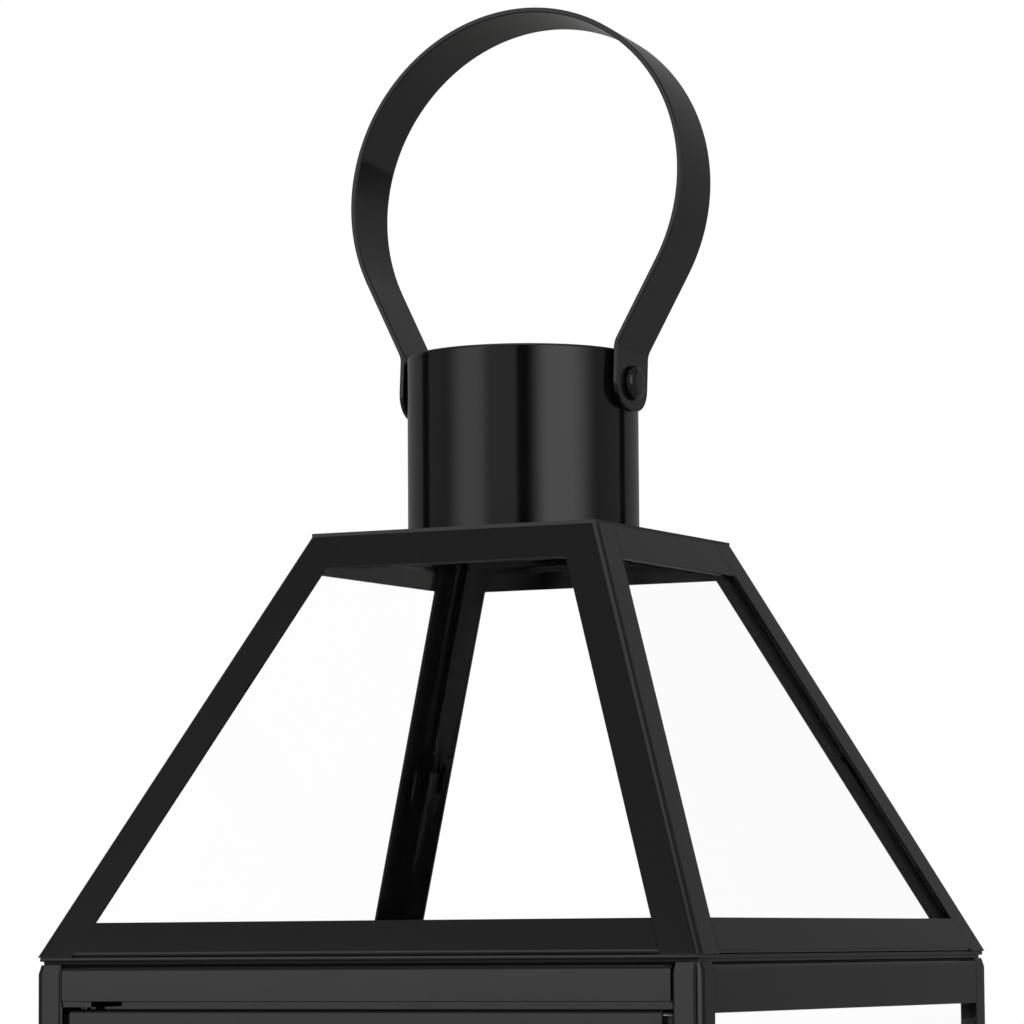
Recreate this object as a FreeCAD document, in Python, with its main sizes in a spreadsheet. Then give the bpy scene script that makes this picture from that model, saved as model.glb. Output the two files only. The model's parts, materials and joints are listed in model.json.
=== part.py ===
import FreeCAD, Part
import Sketcher
import math
import os
import re

# A square candle lantern of folded black sheet and clear glass, with a glazed roof, a chimney
# and a strap handle.
# Millimetres. The origin is on the table under the middle of the body, +Z is up and the door faces -Y.

# Driving dimensions: name, value, what it is
SIZES = [
    ("body_width", 200.0, "outside width and depth of the square body and of the roof's lower edge"),
    ("eave_height", 270.0, "height of the roof's lower edge above the table"),
    ("sheet", 1.0, "thickness of the folded sheet"),
    ("bend_radius", 2.5, "outside radius of the folds in posts and top rails"),
    ("sill_radius", 1.2, "outside radius of the folds in the bottom rails, tight to seat the glass"),
    ("post_flange", 8.5, "width of each leg of a corner post"),
    ("post_crop", 2.5, "height of the bevel at a post's top"),
    ("top_rail_height", 13.0, "height of the side and back top rails"),
    ("front_rail_height", 10.0, "height of the top rail over the door"),
    ("bottom_rail_height", 22.0, "height of the bottom rails"),
    ("rail_clear", 0.5, "gap between the ends of neighbouring rail flanges"),
    ("glass", 2.0, "thickness of the panes"),
    ("glass_gap", 0.3, "clearance between glass and sheet"),
    ("pane_lap", 3.5, "how far a body pane lies behind a post"),
    ("clip_sheet", 0.8, "thickness of a glass clip"),
    ("clip_foot", 2.0, "width of the clip's welded foot"),
    ("clip_lip", 6.0, "how far the clip reaches over the glass"),
    ("clip_length", 10.0, "length of a clip along the edge of the glass"),
    ("low_clip_height", 60.0, "height of the lower clips of the side panes"),
    ("high_clip_height", 200.0, "height of the upper clips of the side panes"),
    ("clip_stagger", 20.0, "how much higher the back pane's clips sit"),
    ("seat_thick", 2.0, "thickness of the bars under the roof"),
    ("seat_width", 10.0, "width of the bars under the roof"),
    ("seat_recess", 1.6, "how far those bars stand back from the body's face"),
    ("roof_height", 118.0, "height of the roof"),
    ("crown_width", 88.6, "width of the roof's flat top"),
    ("hip_flange", 10.7, "width of each leg of a hip bar"),
    ("hip_radius", 2.0, "outside radius of a hip bar's fold"),
    ("eave_rail_width", 10.4, "width of an eave rail up the slope"),
    ("eave_flange", 8.0, "width of an eave rail's turned-in foot"),
    ("eave_radius", 1.0, "outside radius of an eave rail's fold"),
    ("crown_rail_width", 11.5, "width of a crown rail down the slope"),
    ("roof_pane_lap", 4.5, "how far a roof pane lies behind a hip bar, along the eave"),
    ("roof_pane_rise", 4.0, "from the eave up the slope to a roof pane's lower edge"),
    ("roof_pane_drop", 5.0, "from the roof's top down the slope to a roof pane's upper edge"),
    ("roof_clip_rise", 66.0, "from the eave along a hip bar to the middle of its clips"),
    ("chimney_diameter", 66.0, "outside diameter of the chimney"),
    ("chimney_height", 52.0, "height of the chimney over the crown plate"),
    ("chimney_hem", 5.0, "depth of the hem folded into the chimney's top"),
    ("collar_height", 5.0, "height of the crown plate's collar inside the chimney"),
    ("collar_clear", 0.1, "clearance between collar and chimney"),
    ("strap_width", 20.0, "width of the handle strap"),
    ("strap_thick", 1.5, "thickness of the handle strap"),
    ("strap_clear", 0.3, "clearance between strap and chimney"),
    ("strap_bend", 6.0, "radius of the strap's middle line where it leaves the chimney"),
    ("strap_straight", 8.5, "straight height of the strap over its pivots"),
    ("strap_foot", 7.5, "from the pivots down to the strap's ends"),
    ("strap_round", 7.0, "corner radius of the strap's ends"),
    ("ring_radius", 52.3, "radius of the handle ring's middle line"),
    ("leg_flare", 28.0, "degrees that the strap's legs lean out between chimney and ring"),
    ("pivot_drop", 9.5, "from the chimney's top down to the handle's pivots"),
    ("handle_lean", 4.7, "degrees that the handle leans back at rest"),
    ("rivet_diameter", 5.0, "shank of a handle rivet"),
    ("rivet_head", 10.0, "diameter of a handle rivet's head"),
    ("rivet_dome", 2.0, "height of a handle rivet's head"),
    ("rivet_tail", 8.0, "diameter of a handle rivet's set end"),
    ("tail_thick", 1.5, "height of a rivet's set end"),
    ("fit", 0.05, "radial clearance of pins and rivets in their holes"),
    ("head_clear", 0.2, "play under a rivet's head"),
    ("door_side_gap", 2.5, "gap between the door and the posts"),
    ("door_top_gap", 2.0, "gap between the door and the rail above it"),
    ("door_foot_gap", 2.5, "gap between the door and the rail below it"),
    ("door_frame", 11.0, "face width of the door's frame"),
    ("door_depth", 7.0, "depth of the door's frame"),
    ("door_radius", 1.5, "outside radius of the folds in the door's frame"),
    ("door_pane_lap", 5.0, "how far the door's pane lies behind its frame"),
    ("door_clip_inset", 45.0, "from the door's ends to the middle of its clips"),
    ("pivot_inset", 2.5, "from the door's hinge edge to its pivot axis"),
    ("pivot_depth", 4.0, "from the door's face to its pivot axis"),
    ("pin_diameter", 2.5, "diameter of a pivot pin"),
    ("pin_head", 4.4, "diameter of a pivot pin's head and of the lower pin's shoulder"),
    ("pin_head_height", 1.5, "height of a pivot pin's head"),
    ("pin_reach", 1.0, "how far a pivot pin stands out past its lug"),
    ("lug_thick", 1.4, "thickness of a hinge lug"),
    ("lug_width", 9.0, "width of a hinge lug"),
    ("lug_reach", 9.0, "how far a hinge lug reaches in from the body's face"),
    ("lug_leg", 6.0, "height of a hinge lug's welded leg"),
    ("knob_height", 165.0, "height of the door knob above the table"),
    ("knob_diameter", 10.0, "diameter of the door knob"),
    ("knob_neck", 5.0, "diameter of the knob's neck"),
    ("knob_neck_length", 3.0, "length of the knob's neck"),
    ("knob_length", 10.0, "how far the knob stands out"),
    ("knob_radius", 2.0, "rounding of the knob"),
    ("latch_height", 140.0, "height of the catch's pivot above the table"),
    ("latch_inset", 4.5, "from the body's side to the catch's pivot"),
    ("latch_reach", 16.0, "from the catch's pivot to its thumb button"),
    ("latch_width", 7.0, "width of the catch"),
    ("latch_thick", 1.2, "thickness of the catch"),
    ("latch_clear", 0.3, "clearance between the catch and the body's face"),
    ("button_diameter", 5.0, "diameter of the catch's thumb button"),
    ("button_height", 4.0, "how far the thumb button stands out"),
    ("latch_rivet_diameter", 3.0, "shank of the catch's rivet"),
    ("latch_rivet_head", 6.0, "diameter of its head"),
    ("latch_rivet_tail", 3.8, "diameter of its set end"),
    ("latch_rivet_dome", 1.2, "height of its head"),
    ("candle_diameter", 90.0, "flat diameter of the candle plate"),
    ("candle_rim", 8.0, "height of the candle plate's rim"),
    ("candle_flare", 3.0, "how far the candle plate's rim leans out"),
]

# Places and angles worked out from the sizes
PLACES = {
    "half": "body_width / 2",
    "inner_half": "half - sheet",
    "body_top": "eave_height - seat_thick",
    "floor_top": "sheet",
    "floor_half": "half - sill_radius",
    "pane_low": "floor_top + sheet",
    "rail_length": "body_width - 2 * post_flange",
    "rail_flange": "post_flange - rail_clear",
    "pane_outer": "inner_half - glass_gap",
    "pane_inner": "pane_outer - glass",
    "pane_half": "half - post_flange + pane_lap",
    "pane_top": "body_top - bend_radius - sheet",
    "clip_far": "2 * glass_gap + glass + clip_sheet",
    "run": "half - crown_width / 2",
    "slope": "sqrt(run ^ 2 + roof_height ^ 2)",
    "sin_b": "run / slope",
    "cos_b": "roof_height / slope",
    "lean": "atan(run / roof_height)",
    "hip_long": "sqrt(2 * run ^ 2 + roof_height ^ 2)",
    "hip_face": "hip_flange * hip_long / slope",
    "hip_half_angle": "90 deg - acos(sin_b ^ 2) / 2",
    "roof_top": "eave_height + roof_height",
    "plate_low": "roof_top - sheet",
    "tall_slope": "slope + eave_rail_width",
    "chimney_top": "roof_top + chimney_height",
    "flue": "chimney_diameter / 2 - sheet",
    "pivot_height": "chimney_top - pivot_drop",
    "strap_inside": "chimney_diameter / 2 + strap_clear",
    "strap_middle": "strap_inside + strap_thick / 2",
    "strap_outside": "strap_inside + strap_thick",
    "door_half": "half - post_flange - door_side_gap",
    "front_rail_low": "body_top - front_rail_height",
    "sill_top": "floor_top + bottom_rail_height",
    "door_top": "front_rail_low - door_top_gap",
    "door_low": "sill_top + door_foot_gap",
    "door_pane_half": "door_half - door_frame + door_pane_lap",
    "pivot_x": "-door_half + pivot_inset",
    "pivot_y": "-half + pivot_depth",
    "latch_x": "half - latch_inset",
    "knob_x": "door_half - door_frame / 2",
}

FACES = ["front", "right", "back", "left"]
CORNERS = ["front_right", "back_right", "back_left", "front_left"]
QUARTER = 90
TOUCH = 0.01

V = FreeCAD.Vector
doc = FreeCAD.newDocument("CandleLantern")
sheet = doc.addObject("Spreadsheet::Sheet", "Sizes")
for row, (name, value, note) in enumerate(SIZES, start=1):
    sheet.set("A%d" % row, name)
    sheet.set("B%d" % row, str(value))
    sheet.set("C%d" % row, note)
    sheet.setAlias("B%d" % row, name)
doc.recompute()

CELLS = {name for name, value, note in SIZES}
nodes = []


def bound(formula):
    """Spell a formula of sizes and places out in the spreadsheet's cells."""
    def swap(found):
        word = found.group(0)
        if word in PLACES:
            return "(" + bound(PLACES[word]) + ")"
        return "Sizes." + word if word in CELLS else word
    return re.sub(r"[a-z_]+", swap, str(formula))


def num(formula):
    """The present value of a formula."""
    value = sheet.evalExpression(bound(formula))
    return float(getattr(value, "Value", value))


def new_body(label, keep=True):
    body = doc.addObject("PartDesign::Body", label)
    body.Label = label
    if keep:
        nodes.append(body)
    return body


def new_sketch(body, plane, height=None):
    """An empty sketch on one of the body's own planes, moved along its normal by a formula."""
    sketch = body.newObject("Sketcher::SketchObject", body.Name + "_sketch")
    support = [part for part in body.Origin.OriginFeatures if part.Role == plane][0]
    sketch.AttachmentSupport = (support, [""])
    sketch.MapMode = "FlatFace"
    if height is not None:
        sketch.setExpression("AttachmentOffset.Base.z", bound(height))
    return sketch


def hold(sketch, constraints, formulas):
    """Add constraints, then tie the ones that carry a formula to the spreadsheet."""
    first = sketch.ConstraintCount
    sketch.addConstraint(constraints)
    for index, formula in formulas:
        sketch.setExpression("Constraints[%d]" % (first + index), bound(formula))


def place_point(constraints, formulas, geometry, end, across, up):
    """Dimension one point of a sketch from its origin."""
    for kind, axis, formula in (("DistanceX", -2, across), ("DistanceY", -1, up)):
        if str(formula) == "0":
            constraints.append(Sketcher.Constraint("PointOnObject", geometry, end, axis))
        else:
            formulas.append((len(constraints), formula))
            constraints.append(Sketcher.Constraint(kind, -1, 1, geometry, end, num(formula)))


def outline(body, plane, corners, height=None):
    """A closed sketch of straight lines whose corners are pairs of formulas."""
    sketch = new_sketch(body, plane, height)
    points = [V(num(across), num(up), 0) for across, up in corners]
    count = len(points)
    constraints = []
    formulas = []
    for index, point in enumerate(points):
        sketch.addGeometry(Part.LineSegment(point, points[(index + 1) % count]), False)
    for index, (across, up) in enumerate(corners):
        constraints.append(Sketcher.Constraint("Coincident", index, 2, (index + 1) % count, 1))
        place_point(constraints, formulas, index, 1, across, up)
    hold(sketch, constraints, formulas)
    return sketch


def box_outline(body, plane, low, high, height=None):
    corners = [(low[0], low[1]), (high[0], low[1]), (high[0], high[1]), (low[0], high[1])]
    return outline(body, plane, corners, height)


def circle(body, plane, across, up, diameter, height=None):
    sketch = new_sketch(body, plane, height)
    middle = V(num(across), num(up), 0)
    sketch.addGeometry(Part.Circle(middle, V(0, 0, 1), num(diameter) / 2), False)
    constraints = [Sketcher.Constraint("Diameter", 0, num(diameter))]
    formulas = [(0, diameter)]
    place_point(constraints, formulas, 0, 3, across, up)
    hold(sketch, constraints, formulas)
    return sketch


def folded_angle(body, plane, corner, leg_a, leg_b, radius, height=None):
    """A right-angled section of folded sheet: two legs, each (direction, length), and a round fold."""
    sketch = new_sketch(body, plane, height)
    start = V(num(corner[0]), num(corner[1]), 0)
    way_a, way_b = V(*leg_a[0], 0), V(*leg_b[0], 0)
    long_a, long_b, bend, thick = num(leg_a[1]), num(leg_b[1]), num(radius), num("sheet")
    middle = start + (way_a + way_b) * bend

    def fold(size):
        on_a, on_b = middle - way_b * size, middle - way_a * size
        halfway = middle - (way_a + way_b).normalize() * size
        return Part.Arc(on_a, halfway, on_b), on_a, on_b
    outer, outer_a, outer_b = fold(bend)
    inner, inner_a, inner_b = fold(bend - thick)
    end_a, end_b = start + way_a * long_a, start + way_b * long_b
    back_a, back_b = end_a + way_b * thick, end_b + way_a * thick
    pieces = [Part.LineSegment(end_a, outer_a), outer, Part.LineSegment(outer_b, end_b),
              Part.LineSegment(end_b, back_b), Part.LineSegment(back_b, inner_b), inner,
              Part.LineSegment(inner_a, back_a), Part.LineSegment(back_a, end_a)]
    sketch.addGeometry(pieces, False)

    def arc_end(arc, point):
        first = sketch.getPoint(arc, 1)
        return 1 if (first - point).Length < (sketch.getPoint(arc, 2) - point).Length else 2
    flat_a = "Horizontal" if leg_a[0][1] == 0 else "Vertical"
    flat_b = "Vertical" if flat_a == "Horizontal" else "Horizontal"
    constraints = [Sketcher.Constraint("Tangent", 0, 2, 1, arc_end(1, outer_a)),
                   Sketcher.Constraint("Tangent", 2, 1, 1, arc_end(1, outer_b)),
                   Sketcher.Constraint("Tangent", 4, 2, 5, arc_end(5, inner_b)),
                   Sketcher.Constraint("Tangent", 6, 1, 5, arc_end(5, inner_a)),
                   Sketcher.Constraint("Coincident", 1, 3, 5, 3)]
    for one, other in ((2, 3), (3, 4), (6, 7), (7, 0)):
        constraints.append(Sketcher.Constraint("Coincident", one, 2, other, 1))
    constraints += [Sketcher.Constraint(flat_a, line) for line in (0, 3, 6)]
    constraints += [Sketcher.Constraint(flat_b, line) for line in (2, 4, 7)]
    formulas = [(len(constraints), radius), (len(constraints) + 1, "sheet")]
    constraints.append(Sketcher.Constraint("Radius", 1, bend))
    constraints.append(Sketcher.Constraint("Distance", 3, thick))

    def along(way, length):
        return ["(%s) + (%d) * (%s)" % (at, step, length) if step else at for at, step in zip(corner, way)]
    place_point(constraints, formulas, 0, 1, *along(*leg_a))
    place_point(constraints, formulas, 2, 2, *along(*leg_b))
    hold(sketch, constraints, formulas)
    return sketch


def pad(body, sketch, length, side="One side", back=False):
    feature = body.newObject("PartDesign::Pad", body.Name + "_pad")
    feature.Profile = sketch
    feature.setExpression("Length", bound(length))
    feature.SideType = side
    feature.Reversed = back
    return feature


def pocket(body, sketch, length, side="Symmetric"):
    feature = body.newObject("PartDesign::Pocket", body.Name + "_pocket")
    feature.Profile = sketch
    feature.setExpression("Length", bound(length))
    feature.SideType = side
    return feature


def turn(body, corners):
    """Revolve an outline of (radius, height) pairs about the body's Z axis."""
    sketch = outline(body, "XZ_Plane", corners)
    feature = body.newObject("PartDesign::Revolution", body.Name + "_turn")
    feature.Profile = sketch
    feature.ReferenceAxis = (sketch, ["V_Axis"])
    feature.Angle = 360
    return feature


def round_off(body, radius, wanted, kind="Fillet"):
    """Round or bevel those edges of the body's last feature for which wanted(edge) is true."""
    doc.recompute()
    base = body.Tip
    edges = ["Edge%d" % (index + 1) for index, edge in enumerate(base.Shape.Edges) if wanted(edge)]
    feature = body.newObject("PartDesign::" + kind, body.Name + "_" + kind.lower())
    feature.Base = (base, edges)
    feature.setExpression("Radius" if kind == "Fillet" else "Size", bound(radius))
    return feature


def near(value, formula):
    return abs(value - num(formula)) < TOUCH


def set_place(item, place):
    item.setExpression("Placement", place)


def spun(quarters):
    """A turn about Z by quarter turns, as an expression."""
    return "placement(vector(0; 0; 0); rotation(vector(0; 0; 1); %d))" % (quarters * QUARTER)


def moved(across, along, up, axis=(0, 0, 1), angle="0"):
    values = tuple(bound(formula) for formula in (across, along, up))
    spot = "vector(%s; %s; %s)" % values
    return "placement(%s; rotation(vector(%d; %d; %d); %s))" % ((spot,) + tuple(axis) + (bound(angle),))


def spread(label, master, places):
    """One node of several equal solids: a master piece linked to each place."""
    links = []
    for index, place in enumerate(places):
        link = doc.addObject("App::Link", "%s_%d" % (label, index + 1))
        link.LinkedObject = master
        set_place(link, place)
        links.append(link)
    group = doc.addObject("Part::Compound", label)
    group.Label = label
    group.Links = links
    nodes.append(group)
    return group


def shared(label, base, tool):
    """What two solids have in common, as a node."""
    feature = doc.addObject("Part::Common", label)
    feature.Label = label
    feature.Base = base
    feature.Tool = tool
    nodes.append(feature)
    return feature


# Body: posts, rails, floor
def corner_post(index, corner):
    body = new_body(corner + "_post")
    legs = ((-1, 0), "post_flange"), ((0, 1), "post_flange")
    sketch = folded_angle(body, "XY_Plane", ("half", "-half"), *legs, "bend_radius", "floor_top")
    pad(body, sketch, "body_top - floor_top")
    if corner == "front_right":
        hole = "latch_rivet_diameter + 2 * fit"
        pocket(body, circle(body, "XZ_Plane", "latch_x", "latch_height", hole, "half"), "4 * sheet")
    bevel = round_off(body, "0.8 * sheet", outer_top_edge, "Chamfer")
    bevel.ChamferType = "Two distances"
    bevel.FlipDirection = True
    bevel.setExpression("Size2", bound("post_crop"))
    set_place(body, spun(index))


def outer_top_edge(edge):
    box = edge.BoundBox
    flat_top = near(box.ZMin, "body_top") and near(box.ZMax, "body_top")
    straight = near(box.YMax, "-half") or near(box.XMin, "half")
    fold = edge.Curve.TypeId == "Part::GeomCircle" and near(edge.Curve.Radius, "bend_radius")
    return flat_top and (straight or fold)


def top_rail(index, face):
    body = new_body(face + "_top_rail")
    drop = "front_rail_height" if face == "front" else "top_rail_height"
    legs = ((0, -1), drop), ((1, 0), "rail_flange")
    sketch = folded_angle(body, "YZ_Plane", ("-half", "body_top"), *legs, "bend_radius")
    pad(body, sketch, "rail_length", "Symmetric")
    set_place(body, spun(index))


def bottom_rail(index, face):
    body = new_body(face + "_bottom_rail")
    legs = ((0, 1), "bottom_rail_height"), ((1, 0), "rail_flange")
    sketch = folded_angle(body, "YZ_Plane", ("-half", "floor_top"), *legs, "sill_radius")
    pad(body, sketch, "rail_length", "Symmetric")
    set_place(body, spun(index))


def floor_plate():
    """The flat plate that the lantern stands on, welded under the bottom rails."""
    body = new_body("floor_plate")
    low, high = ("-floor_half", "-floor_half"), ("floor_half", "floor_half")
    pad(body, box_outline(body, "XY_Plane", low, high), "sheet")


def candle_plate():
    """A shallow pressed dish, welded to the floor."""
    body = new_body("candle_plate")
    flat, out = "candle_diameter / 2", "candle_diameter / 2 + candle_flare"
    low, high = "floor_top", "floor_top + candle_rim"
    skin = "floor_top + clip_sheet"
    inner_rim = [(out + " - clip_sheet", high), (flat + " - clip_sheet", skin)]
    turn(body, [("0", low), (flat, low), (out, high)] + inner_rim + [("0", skin)])


# Glass and the clips that hold it
def body_pane(index, face):
    body = new_body(face + "_pane")
    low, high = ("-pane_half", "-pane_outer"), ("pane_half", "-pane_inner")
    pad(body, box_outline(body, "XY_Plane", low, high, "pane_low"), "pane_top - pane_low")
    set_place(body, spun(index))


def clip_master():
    """A bent clip beside the edge of a pane: x runs out from the edge, y into the lantern."""
    body = new_body("glass_clip", keep=False)
    foot, riser = "glass_gap + clip_foot", "glass_gap + clip_sheet"
    over_glass = "clip_far - clip_sheet"
    corners = [("glass_gap", "0"), (foot, "0"), (foot, "clip_sheet"), (riser, "clip_sheet")]
    corners += [(riser, "clip_far"), ("-clip_lip", "clip_far")]
    corners += [("-clip_lip", over_glass), ("glass_gap", over_glass)]
    pad(body, outline(body, "XY_Plane", corners), "clip_length", "Symmetric")
    return body


def body_pane_clips(master):
    places = []
    for index, face in enumerate(FACES[1:], start=1):
        lift = "clip_stagger" if face == "back" else "0"
        for height in ("low_clip_height + " + lift, "high_clip_height + " + lift):
            ahead = moved("pane_half", "-inner_half", height)
            astern = moved("-pane_half", "-inner_half", height, (0, 1, 0), "180")
            places.append(spun(index) + " * " + ahead)
            places.append(spun(index) + " * " + astern)
    spread("body_pane_clips", master, places)


# Roof
def roof_seat_bars():
    master = new_body("seat_bar", keep=False)
    outer, inner = "half - seat_recess", "half - seat_recess - seat_width"
    front, back = "-(%s)" % outer, "-(%s)" % inner
    corners = [(front, front), (outer, front), (inner, back), (back, back)]
    pad(master, outline(master, "XY_Plane", corners, "body_top"), "seat_thick")
    spread("roof_seat_bars", master, [spun(index) for index in range(len(FACES))])


def on_slope(index):
    """The frame of a roof face: x along the eave, y up the slope, z outwards."""
    return spun(index) + " * " + moved("0", "-half", "eave_height", (1, 0, 0), "90 deg - lean")


def on_hip(index, along):
    """The frame of a hip bar at a distance up from its foot: z along the bar, x outwards."""
    tilt = moved("0", "0", "0", (0, 1, 0), "-atan(run * sqrt(2) / roof_height)")
    foot = moved("half", "-half", "eave_height", (0, 0, 1), "-45")
    return spun(index) + " * " + foot + " * " + tilt + " * " + moved("0", "0", along)


def slope_strip(body, low, high, inset, rise):
    """A trapezium on a roof face between two distances up the slope, its ends inside the hips."""
    low_half = "half - (%s) * sin_b - (%s)" % (low, inset)
    high_half = "half - (%s) * sin_b - (%s)" % (high, inset)
    corners = [("-(%s)" % low_half, low), (low_half, low), (high_half, high), ("-(%s)" % high_half, high)]
    return outline(body, "XY_Plane", corners, rise)


def roof_tools():
    """The slab between the eave and the crown plate, and the trimming block of one roof face."""
    slab = doc.addObject("Part::Box", "roof_slab")
    sides = (("Length", "body_width"), ("Width", "body_width"), ("Height", "roof_height - sheet"))
    for name, formula in sides:
        slab.setExpression(name, bound(formula))
    set_place(slab, moved("-half", "-half", "eave_height"))
    blocks = []
    for index, face in enumerate(FACES):
        block = new_body(face + "_trim", keep=False)
        sketch = slope_strip(block, "-eave_flange - eave_rail_width", "eave_rail_width", "hip_face", None)
        pad(block, sketch, "2 * (eave_flange + eave_rail_width)", "Symmetric")
        set_place(block, on_slope(index))
        blocks.append(block)
    return slab, blocks


def hip_bar(index, corner, slab):
    body = new_body(corner + "_hip_blank", keep=False)
    wide, deep = "cos(hip_half_angle)", "sin(hip_half_angle)"
    tip = ("-hip_flange * %s" % wide, "hip_flange * %s" % deep)
    back = ("-hip_flange * %s - sheet * %s" % (wide, deep), "hip_flange * %s - sheet * %s" % (deep, wide))
    corners = [("0", "0"), tip, back, ("-sheet / %s" % deep, "0")]
    corners += [(across, "-(%s)" % up) for across, up in (back, tip)]
    pad(body, outline(body, "XY_Plane", corners), "hip_long + 4 * hip_flange")
    fold = num("hip_long + 3 * hip_flange")

    def on_fold(edge):
        box = edge.BoundBox
        return box.ZLength > fold and near(box.XMax, "0") and near(box.YMax, "0")
    round_off(body, "hip_radius", on_fold)

    def in_fold(edge):
        box = edge.BoundBox
        return box.ZLength > fold and near(box.XMax, "-sheet / %s" % deep) and near(box.YMax, "0")
    round_off(body, "hip_radius - sheet", in_fold)
    set_place(body, on_hip(index, "-2 * hip_flange"))
    shared(corner + "_hip", body, slab)


def eave_rail(index, face, block):
    body = new_body(face + "_eave_blank", keep=False)
    inside = "sheet * (1 + sin_b) / cos_b"
    top = ("eave_rail_width * sin_b", "eave_rail_width * cos_b")
    back = ("%s + sheet * cos_b" % top[0], "%s - sheet * sin_b" % top[1])
    section = [("0", "0"), ("eave_flange", "0"), ("eave_flange", "sheet"), (inside, "sheet"), back, top]
    corners = [("-half + " + across, "eave_height + " + up) for across, up in section]
    pad(body, outline(body, "YZ_Plane", corners), "body_width", "Symmetric")

    def on_fold(edge):
        box = edge.BoundBox
        outside = near(box.YMax, "-half") and near(box.ZMax, "eave_height")
        return outside and box.XLength > num("crown_width")
    round_off(body, "eave_radius", on_fold)
    set_place(body, spun(index))
    shared(face + "_eave_rail", body, block)


def crown_rail(index, face, slab):
    body = new_body(face + "_crown_blank", keep=False)
    pad(body, slope_strip(body, "slope - crown_rail_width", "tall_slope", "hip_face", "-sheet"), "sheet")
    set_place(body, on_slope(index))
    shared(face + "_crown_rail", body, slab)


def roof_pane(index, face):
    body = new_body(face + "_roof_pane")
    sketch = slope_strip(body, "roof_pane_rise", "slope - roof_pane_drop", "hip_face - roof_pane_lap",
                         "-sheet - glass_gap - glass")
    pad(body, sketch, "glass")
    set_place(body, on_slope(index))


def roof_pane_clips(master):
    """Two clips per hip bar, one over each of the panes beside it."""
    edge = "-(hip_face - roof_pane_lap) * slope / hip_long"
    places = []
    for index in range(len(CORNERS)):
        for swing, flip in (("hip_half_angle", "0"), ("-hip_half_angle", "180")):
            leg = moved("0", "0", "0", (0, 0, 1), swing)
            over = moved("0", "0", "0", (1, 0, 0), flip)
            spot = moved(edge, "sheet", "0")
            places.append(" * ".join([on_hip(index, "roof_clip_rise"), leg, over, spot]))
    spread("roof_pane_clips", master, places)


def crown_plate():
    body = new_body("crown_plate")
    edge = "crown_width / 2"
    pad(body, box_outline(body, "XY_Plane", ("-" + edge, "-" + edge), (edge, edge), "plate_low"), "sheet")
    collar = "2 * (flue - collar_clear)"
    pad(body, circle(body, "XY_Plane", "0", "0", collar, "roof_top"), "collar_height")
    opening = circle(body, "XY_Plane", "0", "0", collar + " - 2 * sheet", "roof_top")
    pocket(body, opening, "4 * collar_height")


def chimney():
    body = new_body("chimney")
    wide, hem = "chimney_diameter / 2", "flue - sheet"
    top, hem_end = "chimney_top", "chimney_top - chimney_hem"
    wall = [("flue", "roof_top"), (wide, "roof_top"), (wide, top)]
    turn(body, wall + [(hem, top), (hem, hem_end), ("flue", hem_end)])
    hole = circle(body, "YZ_Plane", "0", "pivot_height", "rivet_diameter + 2 * fit")
    pocket(body, hole, "2 * chimney_diameter")


# Handle
def handle_rivet(label, swing):
    """A domed rivet through the strap's end and the chimney's wall, along its own Z axis."""
    body = new_body(label)
    shank, head, tail = "rivet_diameter / 2", "rivet_head / 2", "rivet_tail / 2"
    seat = "strap_outside + head_clear"
    inner = "sqrt(flue ^ 2 - (rivet_tail / 2) ^ 2) - fit"
    low, top = inner + " - tail_thick", seat + " + rivet_dome"
    set_end = [("0", low), (tail, low), (tail, inner), (shank, inner)]
    turn(body, set_end + [(shank, seat), (head, seat), (head, top), ("0", top)])

    def rim(edge):
        return near(edge.BoundBox.ZMin, top) and edge.BoundBox.XLength > TOUCH
    round_off(body, "0.9 * rivet_dome", rim)
    set_place(body, moved("0", "0", "pivot_height", (0, 1, 0), swing))


def handle_strap():
    """A strap swept along a path of tangent lines and arcs, with rounded and drilled ends."""
    body = new_body("handle_strap")
    path = strap_path(body)
    low, high = ("strap_inside", "-strap_width / 2"), ("strap_outside", "strap_width / 2")
    profile = box_outline(body, "XY_Plane", low, high, "-strap_foot")
    doc.recompute()
    sweep = body.newObject("PartDesign::AdditivePipe", "strap_sweep")
    sweep.Profile = profile
    sweep.Spine = (path, ["Edge%d" % (index + 1) for index in range(len(path.Shape.Edges))])

    def end_corner(edge):
        box = edge.BoundBox
        short = near(box.XLength, "strap_thick") and box.YLength < TOUCH
        return short and near(box.ZMax, "-strap_foot")
    round_off(body, "strap_round", end_corner)
    hole = circle(body, "YZ_Plane", "0", "0", "rivet_diameter + 2 * fit")
    pocket(body, hole, "4 * strap_outside")
    set_place(body, moved("0", "0", "pivot_height", (1, 0, 0), "-handle_lean"))


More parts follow.
